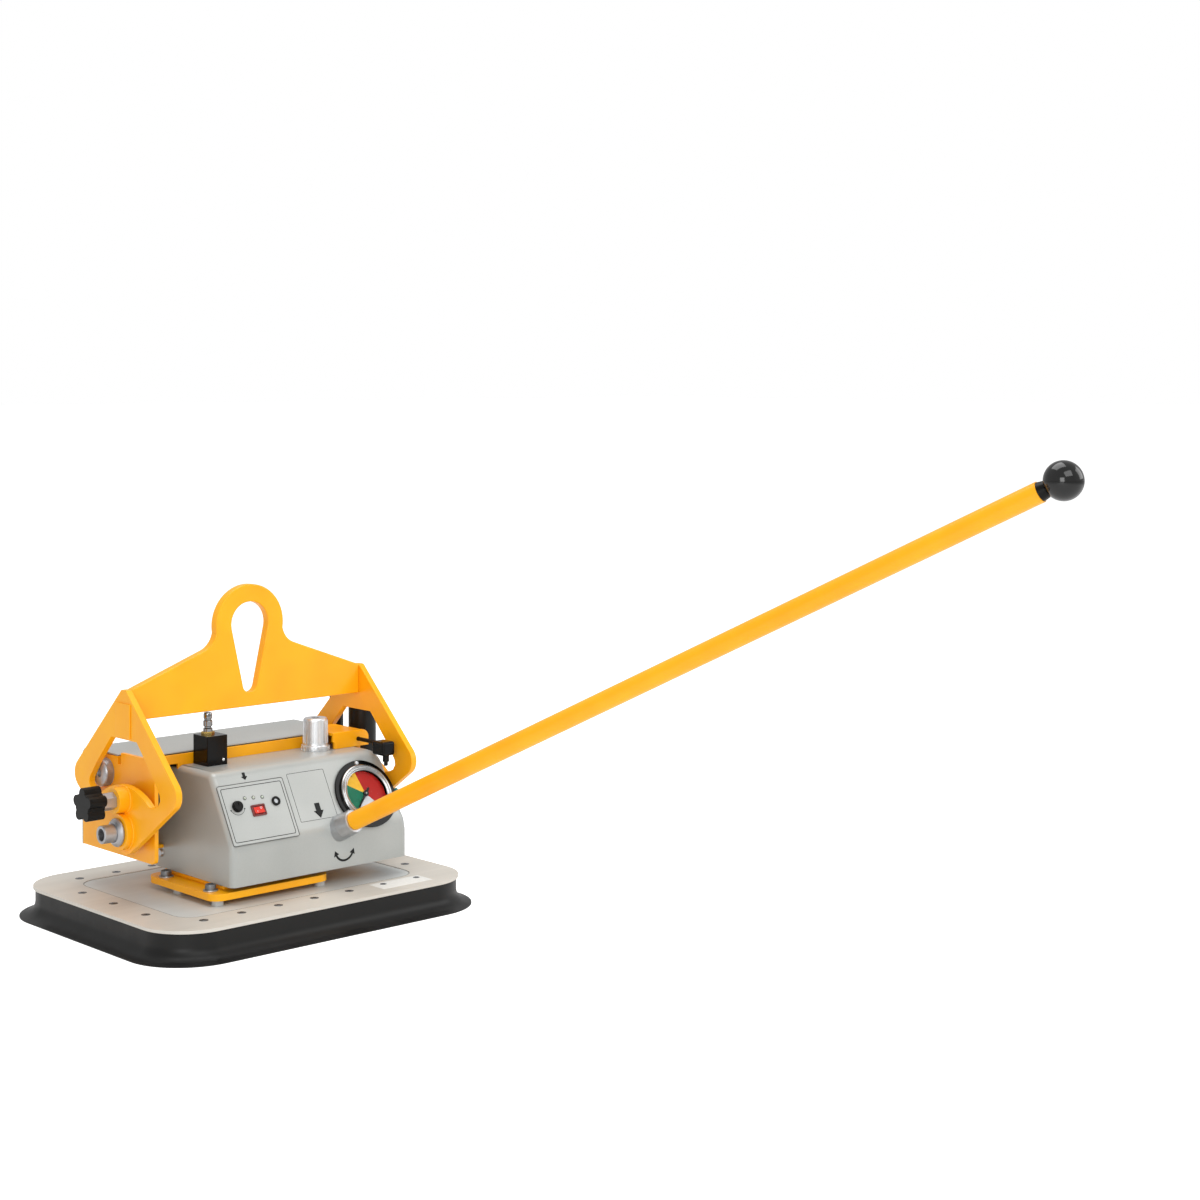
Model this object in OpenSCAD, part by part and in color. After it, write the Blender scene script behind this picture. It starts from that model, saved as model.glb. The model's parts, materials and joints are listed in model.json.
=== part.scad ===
// Vacuum lifting head: a rectangular suction pad that carries a covered vacuum unit,
// a tilting lifting bail with an eye, and a long guide handle.
// X runs left to right, Y runs front to back, Z is up. The load's surface is z = 0.

/* [Pad] */
// Length of the pad's clamp frame, left to right
pad_len = 430; // [380:1:560]
// Width of the pad's clamp frame, front to back
pad_wid = 350; // [310:1:460]
// Corner radius of the clamp frame
pad_r = 60; // [50:1:80]
// Height of the clamp frame's top face above the load
pad_top = 36; // [34:1:48]
// Thickness of the clamp frame
frame_t = 3.6; // [2:0.1:5]
// Width of the clamp frame's rim at the ends
rim_x = 51; // [48:1:60]
// Width of the clamp frame's rim at the front and back
rim_y = 55; // [52:1:64]
// How far the rubber lip stands out past the frame
lip_out = 16; // [10:1:24]
// Thickness of the rubber flange
seal_t = 6; // [4:0.5:8]
// Thickness of the base plate's flange
base_t = 6; // [4:0.5:8]

/* [Body] */
// Width over the two end plates
body_w = 300; // [290:1:370]
// Thickness of each end plate
plate_t = 5; // [3:0.5:6]
// Depth of the body behind the pivot
body_d = 130; // [120:1:150]
// Wall of the covers
wall = 2; // [1.5:0.1:3]
// Angle of the control panel from the vertical
panel_a = 30; // [25:1:35]

/* [Bail] */
// Height of the bail's pivot above the frame's top face
pivot_h = 81; // [76:1:96]
// Height of the beam's lower edge above the pivot
beam_h = 127; // [124:1:160]
// Thickness of the lifting beam
beam_t = 12; // [8:1:14]
// Thickness of each bail arm
arm_t = 8; // [6:1:9]
// Gap between the left end plate and the bail arm
arm_gap = 12; // [11.5:0.5:16]
// Outer radius of the lifting eye
eye_r = 48; // [40:1:58]
// Radius of the wide end of the eye's hole
hole_r = 26; // [20:1:32]

/* [Fits] */
// Diameter of the pivot tubes
stub_d = 21; // [18:0.5:25]
// Bore of the pivot tubes
stub_bore = 14; // [10:0.5:16]
// Diameter of the lock pin
pin_d = 8; // [6:0.5:10]
// Travel of the lock pin
pin_travel = 8; // [7:0.5:9]
// Diameter of the clamp screws
screw_d = 6; // [4:0.5:8]
// Radial running clearance
fit = 0.05; // [0.02:0.01:0.1]

/* [Handle] */
// Diameter of the handle tube
tube_d = 22; // [18:0.5:26]
// Wall of the handle tube
tube_wall = 2; // [1.5:0.1:3]
// Length from the valve to the centre of the ball knob
reach = 1000; // [800:10:1200]
// Diameter of the ball knob
ball_d = 40; // [34:1:50]

/* [Gauge] */
// Radius of the gauge's flange
flange_r = 42.5; // [38:0.5:44]
// Radius of the gauge's bezel
bezel_r = 36; // [32:0.5:37]

/* [Hidden] */
$fn = 64;
lift = pad_top - 36;
clamp_z = pad_top - frame_t;
hl = pad_len / 2;
hw = pad_wid / 2;
bx = body_w / 2;
screw_x = (pad_len - 130) / 6;
screw_y = hw - 39;
side_x = hl - 31;
side_y = pad_wid / 5;
// the screws: seven along the front and back, three at each end
screws = concat(
  [for (i = [-3:3], s = [-1, 1]) [i * screw_x, s * screw_y]],
  [for (i = [-1:1], s = [-1, 1]) [s * side_x, i * side_y]]);
// the adapter plate on its spacers
ad = [-112, 52, -98, 48];
ad_z = pad_top + 6;
ad_t = 8;
top_z = ad_z + ad_t;
bolt_at = [[-101, -74], [41, -74], [-101, 21], [41, 21]];
bolt_d = 8;
spacer_at = [[-100, -87], [42, -87], [-100, -6], [42, -6]];
field_z = pad_top - 0.5;
port = [-30, -40];
port_d = 20;
port_bore = 12;
// the sheet metal unit
floor_t = 4;
deck_z = pad_top + 44;
floor_y0 = -80;
floor_y1 = 44;
pl_in = -bx + plate_t;
pr_in = bx - plate_t;
back_top = pad_top + 162;
plate_y1 = body_d - wall - 0.5;
flt = [71, pad_top + 138];
// the front cover
cv_x0 = -92;
cv_x1 = bx + 3;
cv_y0 = -105;
cv_y1 = 10;
wall_y1 = 58;
cv_z0 = pad_top + 20;
brk_z = pad_top + 67;
cv_z1 = pad_top + 146;
panel_len = (cv_z1 - brk_z) / cos(panel_a);
// the pivot and the bail
pz = pad_top + pivot_h;
ax_in = bx + arm_gap;
ax_out = ax_in + arm_t;
beam_z = pz + beam_h;
end_h = 36;
eye_z = beam_z + 99;
top_arm = beam_z + end_h;
lobe_r = 27;
ear = [94, pz + 54];
ear_r = 18;
lock_r = 37;
tilt = 40;
bush_r = stub_d / 2 + 3;
bush_f = 17;
boss_r = 21;
boss_t = 8;
lock_t = 14;
hex_t = 18;
sleeve_r = pin_d / 2 + 4;
hex_af = 2 * sleeve_r + 2;
star_r = 20;
stub_end = ax_out + 30;
stub_lip = 3;
// the handle's axis, from the panel's lower edge out to the front
ha_turn = 14.3;
ha_up = 26;
ha = [62, -103, pad_top + 68];
// Radius and height of the seat that the handle's collar turns on.
seat_r = 15.3;
seat_t = 5;
spin_r = tube_d / 2 - tube_wall - fit;
// the gauge, the alarm panel and what stands on them
gx = cv_x1 - 43;
gs = 37;
alarm = [-89, 1, 1, 73];
knob_at = [-70.3, 46.4];
rock_at = [-43.3, 38.4];
jack_at = [-16.9, 45.9];
led_at = [[-57, 55.2], [-45.3, 54.4], [-33.3, 53.5]];
link_r = 2.5;
silver = [0.78, 0.79, 0.8];
yellow = [0.98, 0.71, 0.12];
black = [0.1, 0.1, 0.11];
grey = [0.68, 0.68, 0.66];

// Rectangle with round corners, from its four sides.
module rr(x0, x1, y0, y1, r) {
  translate([x0 + r, y0]) square([x1 - x0 - 2 * r, y1 - y0]);
  translate([x0, y0 + r]) square([x1 - x0, y1 - y0 - 2 * r]);
  for (x = [x0 + r, x1 - r], y = [y0 + r, y1 - r]) translate([x, y]) circle(r);
}

module slab(x0, x1, y0, y1, z0, z1, r) {
  translate([0, 0, z0]) linear_extrude(z1 - z0) rr(x0, x1, y0, y1, r);
}

module box(x0, x1, y0, y1, z0, z1) {
  translate([x0, y0, z0]) cube([x1 - x0, y1 - y0, z1 - z0]);
}

module tube_x(y, z, x0, x1, r) {
  translate([x0, y, z]) rotate([0, 90, 0]) cylinder(h = x1 - x0, r = r);
}

module rod(x, y, z0, z1, r) {
  translate([x, y, z0]) cylinder(h = z1 - z0, r = r);
}

// A plate cut in the Y-Z plane, standing between two X values.
module plate_yz(x0, x1) {
  translate([x0, 0, 0]) rotate([90, 0, 90]) linear_extrude(x1 - x0) children();
}

// A plate cut in the X-Z plane, standing between two Y values.
module plate_xz(y0, y1) {
  translate([0, y1, 0]) rotate([90, 0, 0]) linear_extrude(y1 - y0) children();
}

// Children drawn on the sloping panel: x along it, y up it, z out of it.
module on_panel(x, s, d = 0) {
  translate([0, cv_y0, brk_z]) rotate([90 - panel_a, 0, 0]) translate([x, s, d]) children();
}

// Children drawn along the handle's axis: z runs outward from the valve.
module on_handle(t = 0) {
  translate(ha) rotate([0, 0, ha_turn]) rotate([90 - ha_up, 0, 0]) translate([0, 0, t])
    children();
}

// ---- pad ----
in_u = 46;
lip_in = 9.5;
seal_pts = [[-in_u, clamp_z], [-2.5, clamp_z], [-2.5, 17], [-1.5, 12.2], [1, 8.2],
  [5, 4.8], [10, 2.6], [lip_out, 1.2], [lip_out, 0], [lip_out - 3, 0], [8, 0.9],
  [3, 2.6], [-2, 5.6], [-6, 10], [-8.6, 15], [-lip_in, 20], [-lip_in, clamp_z - seal_t],
  [-in_u, clamp_z - seal_t]];

// The rubber lip, its upright wall and the flange that the frame clamps.
module rubber_seal() color(black) difference() {
  union() {
    for (s = [-1, 1]) {
      scale([1, 1, 1]) translate([0, s * (hw - pad_r), 0]) rotate([90, 0, s * 90])
        translate([0, 0, -(hl - pad_r)]) linear_extrude(2 * (hl - pad_r))
          translate([pad_r, 0]) polygon(seal_pts);
      translate([s * (hl - pad_r), 0, 0]) rotate([90, 0, 90 - s * 90])
        translate([0, 0, -(hw - pad_r)]) linear_extrude(2 * (hw - pad_r))
          translate([pad_r, 0]) polygon(seal_pts);
    }
    for (q = [0:3]) {
      sx = (q == 0 || q == 3) ? 1 : -1;
      sy = (q < 2) ? 1 : -1;
      translate([sx * (hl - pad_r), sy * (hw - pad_r), 0]) rotate([0, 0, q * 90])
        rotate_extrude(angle = 90) translate([pad_r, 0]) polygon(seal_pts);
    }
  }
  for (p = screws) rod(p[0], p[1], clamp_z - seal_t - 1, clamp_z + 1, screw_d / 2 + fit);
}

// The stiff plate inside the rubber: a flange below it and a raised field in its hole.
module base_plate() color(silver) difference() {
  union() {
    slab(-hl + lip_in + 0.5, hl - lip_in - 0.5, -hw + lip_in + 0.5, hw - lip_in - 0.5,
      clamp_z - seal_t - base_t, clamp_z - seal_t, pad_r - lip_in - 0.5);
    slab(-hl + in_u + 0.5, hl - in_u - 0.5, -hw + in_u + 0.5, hw - in_u - 0.5,
      clamp_z - seal_t - 1, clamp_z, pad_r - in_u - 0.5);
    slab(-hl + rim_x + 0.2, hl - rim_x - 0.2, -hw + rim_y + 0.2, hw - rim_y - 0.2,
      clamp_z - 1, field_z, 24.8);
  }
  for (p = screws)
    rod(p[0], p[1], clamp_z - seal_t - base_t - 1, clamp_z + 1, screw_d / 2 + fit);
  rod(port[0], port[1], 0, pad_top, port_d / 2 + fit);
}

module clamp_frame() color(silver) difference() {
  slab(-hl, hl, -hw, hw, clamp_z, pad_top, pad_r);
  slab(-hl + rim_x, hl - rim_x, -hw + rim_y, hw - rim_y, clamp_z - 1, pad_top + 1, 25);
  for (p = screws) rod(p[0], p[1], clamp_z - 1, pad_top + 1, screw_d / 2 + fit);
}

// Low screws through frame, rubber and base plate, with a cross recess.
module clamp_screws() color(silver) for (p = screws) translate([p[0], p[1], 0])
  difference() {
    union() {
      rod(0, 0, clamp_z - seal_t - base_t + 0.5, pad_top + 0.4, screw_d / 2);
      rod(0, 0, pad_top, pad_top + 0.5, screw_d * 0.7);
    }
    translate([0, 0, pad_top - 1.2]) linear_extrude(3) {
      square([screw_d * 0.75, screw_d * 0.16], center = true);
      square([screw_d * 0.16, screw_d * 0.75], center = true);
    }
  }

// Round spacers between the base plate and the adapter plate.
module pad_spacers() color(silver) for (p = spacer_at) rod(p[0], p[1], field_z, ad_z, 7);

module adapter_plate() color(yellow) difference() {
  slab(ad[0], ad[1], ad[2], ad[3], ad_z, top_z, 15);
  for (p = bolt_at) rod(p[0], p[1], ad_z - 1, top_z + 1, bolt_d / 2 + fit);
  rod(port[0], port[1], ad_z - 1, top_z + 1, port_d / 2 + fit);
}

// Cap screws on washers, screwed into the adapter plate.
module adapter_bolts() color(silver) for (p = bolt_at) difference() {
  union() {
    rod(p[0], p[1], ad_z - 2, top_z + 3, bolt_d / 2);
    rod(p[0], p[1], top_z, top_z + 1.6, bolt_d * 1.1);
    rod(p[0], p[1], top_z + 1.6, top_z + 8, bolt_d * 0.8);
  }
  translate([p[0], p[1], top_z + 4.5]) cylinder(h = 4, r = bolt_d * 0.4, $fn = 6);
}

// The suction line from the cavity up into the unit.
module suction_port() color(silver) difference() {
  union() {
    rod(port[0], port[1], clamp_z - seal_t - base_t, top_z + floor_t, port_d / 2);
    rod(port[0], port[1], clamp_z - seal_t - base_t - 4, clamp_z - seal_t - base_t, 15);
  }
  rod(port[0], port[1], 0, top_z + floor_t + 1, port_bore / 2);
}

// ---- sheet metal unit ----
// Floor, riser and deck in folded sheet, with lugs for the cover screws.
module chassis() color(yellow) difference() {
  union() {
    slab(-88, bx - 12, floor_y0, floor_y1, top_z, top_z + floor_t, 3);
    box(-88, bx - 12, floor_y1 - floor_t, floor_y1, top_z, deck_z);
    box(pl_in, pr_in, floor_y1 - floor_t, body_d - 5, deck_z, deck_z + floor_t);
    box(cv_x0 + wall, -80, 38, 54, cv_z0 + 6, deck_z + 1);
  }
  box(cv_x0 - 0.5, cv_x0 + wall, floor_y1 - floor_t - 1, wall_y1 + 0.5, cv_z0,
    deck_z + floor_t + 1);
  rod(port[0], port[1], top_z - 1, top_z + floor_t + 1, port_d / 2 + fit);
  for (p = bolt_at) rod(p[0], p[1], top_z - 1, top_z + floor_t + 1, bolt_d * 1.1 + 1);
  tube_x(46, pad_top + 37, cv_x0, -82, 2.5);
}

// The pivot hole and the three index holes of the lock pin.
module pivot_holes(x0, x1) {
  tube_x(0, pz, x0, x1, stub_d / 2 + 0.02);
  for (a = [-tilt, 0, tilt])
    tube_x(-lock_r * sin(a), pz + lock_r * cos(a), x0, x1, pin_d / 2 + fit);
}

module end_plate_left() color(yellow) difference() {
  union() {
    plate_yz(-bx, pl_in) {
      polygon([[-28, deck_z], [plate_y1, deck_z], [plate_y1, back_top - 22],
        [body_d - 22, back_top - 3], [47, back_top - 3], [47, back_top - 12],
        [40, back_top - 12], [40, back_top + 2], [-14, back_top + 2],
        [-34, back_top - 18], [-34, deck_z + 6], [-32.2, deck_z + 1.8]]);
      translate([-14, back_top - 18]) circle(20);
    }
  }
  pivot_holes(-bx - 1, pl_in + 1);
  tube_x(flt[0], flt[1], -bx - 1, pl_in + 1, 12.1);
}

module end_plate_right() color(yellow) difference() {
  plate_yz(pr_in, bx) polygon([[-18, deck_z], [plate_y1, deck_z],
    [plate_y1, back_top - 22], [body_d - 22, back_top - 3], [47, back_top - 3],
    [47, back_top], [-24, back_top], [-24, deck_z + 6], [-22.2, deck_z + 1.8]]);
  tube_x(0, pz, pr_in - 1, bx + 1, stub_d / 2 + 0.02);
}

// The rail that ties the end plates together above the covers.
module frame_rail() color(yellow) box(pl_in, pr_in, 10.3, 13.3, pad_top + 148, pad_top + 159);

// The bracket at the top right: a front plate with a round corner and a top plate.
module side_bracket() color(yellow) difference() {
  union() {
    plate_xz(-28, -24) {
      translate([bx - 42, cv_z1]) square([52, 10]);
      translate([bx - 42, cv_z1]) square([42, 20]);
      translate([bx - 44, cv_z1 + 8.5]) square([10, 11.5]);
      translate([bx, cv_z1 + 10]) circle(10);
    }
    box(bx - 44, bx, -24.5, 31, back_top, back_top + 4);
  }
  translate([bx - 6, -20, cv_z1 + 9]) rotate([90, 0, 0]) cylinder(h = 12, r = link_r + 0.05);
}

// The rear cover: a hood that rounds over from the top to the back wall. It starts just
// behind the flanges of the pivot tubes.
back_y0 = stub_d / 2 + stub_lip + 0.5;
module hood(x0, x1, y0, y1, z0, z1, r) {
  plate_yz(x0, x1) {
    translate([y0, z0]) square([y1 - r - y0, z1 - z0]);
    translate([y0, z0]) square([y1 - y0, z1 - r - z0]);
    translate([y1 - r, z1 - r]) circle(r);
  }
}

module back_cover() color(grey) difference() {
  union() {
    hood(pl_in + 0.3, pr_in - 0.3, back_y0, body_d, deck_z - 1, back_top - 0.5, 14);
    difference() {
      hood(-bx, bx, 47.3, body_d, deck_z - 1, back_top - 0.5, 14);
      hood(-bx - 1, bx + 1, 46, body_d - wall, deck_z - 2, back_top - 0.5 - wall, 12);
    }
  }
  hood(pl_in + 0.3 + wall, pr_in - 0.3 - wall, back_y0 - 1, body_d - wall, deck_z - 2,
    back_top - 0.5 - wall, 12);
  box(pl_in - 1, pr_in + 1, back_y0 - 1, body_d - 4.5, deck_z - 2, deck_z + floor_t + 0.2);
  tube_x(flt[0], flt[1], pl_in - 1, pl_in + 4, 14.5);
}

// Outline of the front cover's side, drawn in Y and Z, and of its front, in X and Z.
module cover_side(t) {
  polygon([[cv_y0 + t, cv_z0 - (t > 0 ? 1 : 0)], [cv_y0 + t, brk_z - t * tan(panel_a / 2)],
    [cv_y0 + panel_len * sin(panel_a) + t * tan(45 - panel_a / 2), cv_z1 - t],
    [cv_y1 + t, cv_z1 - t], [cv_y1 + t, cv_z0 - (t > 0 ? 1 : 0)]]);
}

module cover_front(t) {
  r = 18 - t;
  polygon([[cv_x0 + t, cv_z0 - t], [cv_x1 + 8 - t, cv_z0 - t], [cv_x1 + 8 - t, brk_z - 14],
    [cv_x1 - t, brk_z + 31], [cv_x1 - t, cv_z1 - t - r], [cv_x1 - t - r, cv_z1 - t],
    [cv_x0 + t + 5, cv_z1 - t], [cv_x0 + t, cv_z1 - t - 5]]);
  translate([cv_x1 - t - r, cv_z1 - t - r]) circle(r);
  translate([cv_x0 + t + 5, cv_z1 - t - 5]) circle(5);
}

// The front cover: a folded hood, open behind and below, its left wall running back.
module front_cover() color(grey) difference() {
  union() {
    intersection() {
      plate_yz(cv_x0, cv_x1 + 9) cover_side(0);
      plate_xz(cv_y0, cv_y1) cover_front(0);
    }
    box(cv_x0, cv_x0 + wall, cv_y1 - 1, wall_y1, cv_z0, cv_z1 - 5);
    on_handle(-9) cylinder(h = 8.9 + seat_t, r = seat_r);
  }
  intersection() {
    plate_yz(cv_x0, cv_x1 + 9) cover_side(wall);
    plate_xz(cv_y0, cv_y1 + 5) cover_front(wall);
  }
  box(pr_in - 2, cv_x1 + 9, -34, cv_y1 + 1, cv_z0 - 1, cv_z1 + 1);
  on_panel(gx, gs, -8) cylinder(h = 12, r = bezel_r - 1.5);
  on_panel(knob_at[0], knob_at[1], -4) cylinder(h = 8, r = 3.5);
  on_panel(rock_at[0], rock_at[1], -4) linear_extrude(8) square([14.5, 10], center = true);
  on_panel(jack_at[0], jack_at[1], -4) cylinder(h = 8, r = 4.05);
  for (p = led_at) on_panel(p[0], p[1], -4) cylinder(h = 8, r = 1.55);
  on_handle(-30) cylinder(h = 50, r = max(12, tube_d / 2 + 1));
  rod(inlet[0], inlet[1], cv_z1 - 4, cv_z1 + 1, 6.05);
  rod(sil[0], sil[1], cv_z1 - 4, cv_z1 + 1, 8.05);
  tube_x(46, pad_top + 37, cv_x0 - 1, cv_x0 + wall + 1, 2.5);
  for (p = gauge_screw_at) on_panel(p[0], p[1], -4) cylinder(h = 8, r = 2.05);
}

module cover_screws() color(silver) {
  tube_x(46, pad_top + 37, cv_x0 - 0.5, -82.5, 2.45);
  translate([cv_x0, 46, pad_top + 37]) rotate([0, -90, 0])
    cylinder(h = 2.2, r1 = 5, r2 = 3.6);
}

// ---- inside the covers ----
tank_r = 40;
tank_y = 70;
tank_z = deck_z + floor_t + tank_r;
module vacuum_tank() color(black) difference() {
  union() {
    tube_x(tank_y, tank_z, cv_x0 + 14, pr_in - 24, tank_r);
    tube_x(tank_y, tank_z, cv_x0 + 6, pr_in - 16, tank_r - 10);
  }
  tube_x(tank_y, tank_z, cv_x0 + 10, pr_in - 20, tank_r - 12);
}

inlet = [-57, -1];
sil = [90, -13];
module ejector_body() color(silver) difference() {
  box(-75, 105, -30, 7, cv_z1 - 32, cv_z1 - wall);
  rod(inlet[0], inlet[1], cv_z1 - 16, cv_z1, 5);
  rod(sil[0], sil[1], cv_z1 - 14, cv_z1, 6);
  tube_x(-7, cv_z1 - 12, -76, 90, 4);
  box(-76, -40, -31, 8, cv_z1 - 33, cv_z1 - 24);
}

// The nozzle that the air is blown through to draw the vacuum.
module ejector_nozzle() color([0.75, 0.6, 0.3]) difference() {
  union() {
    tube_x(-7, cv_z1 - 12, -75, -20, 4);
    tube_x(-7, cv_z1 - 12, -83, -75, 7);
  }
  tube_x(-7, cv_z1 - 12, -84, -60, 2.5);
  tube_x(-7, cv_z1 - 12, -61, -19, 1.2);
}

module check_valve() color(silver) difference() {
  union() {
    rod(port[0], port[1], top_z + floor_t, top_z + floor_t + 30, 14);
    rod(port[0], port[1], top_z + floor_t + 30, top_z + floor_t + 38, 9);
  }
  rod(port[0], port[1], top_z + floor_t - 1, top_z + floor_t + 39, port_bore / 2);
}

module filter_body() color(black) difference() {
  tube_x(flt[0], flt[1], pl_in, pl_in + 14, 14);
  tube_x(flt[0], flt[1], pl_in - 1, pl_in + 11, 9);
}

// The round cap that closes the filter through the left end plate.
module filter_cap() color(silver) difference() {
  union() {
    tube_x(flt[0], flt[1], -bx - 10.5, -bx, 16.5);
    tube_x(flt[0], flt[1], -bx - 11.3, -bx - 10.5, 15.5);
    tube_x(flt[0], flt[1], -bx, pl_in, 12);
    tube_x(flt[0], flt[1], pl_in, pl_in + 8, 8.9);
  }
  tube_x(flt[0], flt[1], -bx - 12, -bx - 8, 5);
}

module alarm_box() color(black) on_panel(0, 0) difference() {
  translate([-84, 6, -24]) cube([80, 60, 24 - wall]);
  translate([-82, 8, -22]) cube([76, 56, 30]);
}

module circuit_board() color([0.1, 0.4, 0.2]) on_panel(0, 0) {
  translate([-82, 8, -22]) cube([76, 56, 1.6]);
  translate([-30, 14, -20.5]) cube([14, 10, 4]);
  translate([-60, 12, -20.5]) cube([10, 8, 3]);
}

module battery_pack() color([0.2, 0.3, 0.6])
  slab(-80, -10, -79, -55, top_z + floor_t, top_z + floor_t + 30, 3);

module buzzer() color(black) difference() {
  rod(6, -67, top_z + floor_t, top_z + floor_t + 12, 12);
  rod(6, -67, top_z + floor_t + 4, top_z + floor_t + 13, 3);
}

// The rotary valve on the handle's axis.
module control_valve() color(silver) difference() {
  union() {
    on_handle(-62) cylinder(h = 41.5, r = 20);
    on_handle(-21) cylinder(h = 17, r = 11.5);
    box(50.5, 62, -80, -60, top_z + floor_t, top_z + floor_t + 14);
  }
  on_handle(-50) cylinder(h = 60, r = spin_r + fit);
}

// The spindle turns in the valve and plugs into the handle tube.
module valve_spindle() color(silver) union() {
  on_handle(-49.5) cylinder(h = 79.5, r = spin_r);
}

// ---- on top of the front cover ----
module inlet_block() color(black) difference() {
  union() {
    slab(-71, -43, -22, 9.5, cv_z1, cv_z1 + 35, 1.5);
    rod(inlet[0], inlet[1], cv_z1 - wall, cv_z1 + 1, 6);
  }
  rod(inlet[0], inlet[1], cv_z1 - 3, cv_z1 + 36, 4);
  translate([-49, -20, cv_z1 + 6]) rotate([90, 0, 0]) cylinder(h = 3, r = 2);
}

// The compressed-air plug: a coupling nipple that a hose socket snaps over.
module air_nipple() color(silver) difference() {
  union() {
    rod(inlet[0], inlet[1], cv_z1 + 28, cv_z1 + 35, 4);
    rod(inlet[0], inlet[1], cv_z1 + 35, cv_z1 + 38, 8);
    rod(inlet[0], inlet[1], cv_z1 + 38, cv_z1 + 60.5, 4.2);
    rod(inlet[0], inlet[1], cv_z1 + 44, cv_z1 + 50, 5.6);
  }
  rod(inlet[0], inlet[1], cv_z1 + 27, cv_z1 + 62, 2.5);
}

// The silencer's ribbed cap on its base ring.
module silencer() color(black) difference() {
  union() {
    rod(sil[0], sil[1], cv_z1 - wall, cv_z1 + 3, 8);
    rod(sil[0], sil[1], cv_z1, cv_z1 + 7, 17.5);
    rod(sil[0], sil[1], cv_z1 + 7, cv_z1 + 9, 13.5);
    translate([sil[0], sil[1], cv_z1 + 9]) cylinder(h = 29, r1 = 15.6, r2 = 15);
    translate([sil[0], sil[1], cv_z1 + 38]) cylinder(h = 1.5, r1 = 15, r2 = 13.5);
  }
  rod(sil[0], sil[1], cv_z1 - 3, cv_z1 + 30, 5);
  for (a = [0:15:345]) rotate_about(sil, a) translate([15.6, 0, cv_z1 + 12])
    cylinder(h = 23, r = 0.8, $fn = 16);
}

module rotate_about(p, a) {
  translate([p[0], p[1], 0]) rotate([0, 0, a]) children();
}

// ---- gauge ----
gauge_screw_at = [for (a = [90, 210, 330])
  [gx + (flange_r - 3.5) * cos(a), gs + (flange_r - 3.5) * sin(a)]];
module gauge_flange() color(black) difference() {
  on_panel(gx, gs) cylinder(h = 3, r = flange_r);
  on_panel(gx, gs, -1) cylinder(h = 5, r = bezel_r - 2);
  for (p = gauge_screw_at) on_panel(p[0], p[1], -1) cylinder(h = 5, r = 2.05);
}

module gauge_case() color(black) difference() {
  union() {
    on_panel(gx, gs, -34) cylinder(h = 37, r = bezel_r - 2.2);
    on_panel(gx, gs, -44) cylinder(h = 10.5, r = 7);
  }
  on_panel(gx, gs, -31) cylinder(h = 35, r = bezel_r - 4.5);
}

module gauge_bezel() color(silver) difference() {
  union() {
    on_panel(gx, gs, 3) cylinder(h = 3, r = bezel_r);
    on_panel(gx, gs, 6) cylinder(h = 1.5, r1 = bezel_r, r2 = bezel_r - 1.5);
  }
  on_panel(gx, gs, 2) cylinder(h = 7, r = bezel_r - 5.5);
  on_panel(gx, gs, 2) cylinder(h = 4.1, r = bezel_r - 3.5);
}

// The dial stands on a stem from the back of the case and carries the needle's pin.
module gauge_dial() color("white") union() {
  on_panel(gx, gs, 0.5) cylinder(h = 1, r = bezel_r - 4.7);
  on_panel(gx, gs, -31) cylinder(h = 32, r = 5);
  on_panel(gx, gs, 1.5) cylinder(h = 2.8, r = 1);
}

// The needle lies along its own axis toward eight o'clock at rest.
needle_a = 225;
module gauge_needle() color(black) difference() {
  union() {
    on_panel(gx, gs, 2.1) cylinder(h = 1.8, r = 3.6);
    on_panel(gx, gs, 2.5) rotate([0, 0, needle_a])
      linear_extrude(0.8) polygon([[-9, -1.4], [0, -1.8], [bezel_r - 9, -0.5],
        [bezel_r - 9, 0.5], [0, 1.8], [-9, 1.4]]);
  }
  on_panel(gx, gs, 1.6) cylinder(h = 4, r = 1 + fit);
}

module gauge_glass() color([0.8, 0.9, 0.95, 0.4])
  on_panel(gx, gs, 4.9) cylinder(h = 1.1, r = bezel_r - 3.55);

module gauge_screws() color(silver) for (p = gauge_screw_at) {
  on_panel(p[0], p[1], -4) cylinder(h = 7.5, r = 2);
  on_panel(p[0], p[1], 3) cylinder(h = 1.4, r1 = 2.8, r2 = 2.2);
}

// ---- alarm panel ----
module alarm_panel() color([0.85, 0.85, 0.82]) on_panel(0, 0) difference() {
  translate([0, 0, 0]) linear_extrude(0.8) rr(alarm[0], alarm[1], alarm[2], alarm[3], 2);
  translate([knob_at[0], knob_at[1], -1]) cylinder(h = 3, r = 3.5);
  translate([rock_at[0], rock_at[1], -1]) linear_extrude(3) square([14.5, 10], center = true);
  translate([jack_at[0], jack_at[1], -1]) cylinder(h = 3, r = 4.05);
  for (p = led_at) translate([p[0], p[1], -1]) cylinder(h = 3, r = 1.55);
}

// Set knob on its shaft, which turns in a collar on the board.
module set_knob() color(black) difference() {
  union() {
    on_panel(knob_at[0], knob_at[1], -18) cylinder(h = 20, r = 3);
    on_panel(knob_at[0], knob_at[1], 1.1) cylinder(h = 1.6, r = 6.8);
    on_panel(knob_at[0], knob_at[1], 2.7) cylinder(h = 2.8, r1 = 6.2, r2 = 5.7);
  }
  on_panel(knob_at[0], knob_at[1], 4.6) translate([-0.5, 0, 0]) cube([1, 7, 2]);
}

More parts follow.
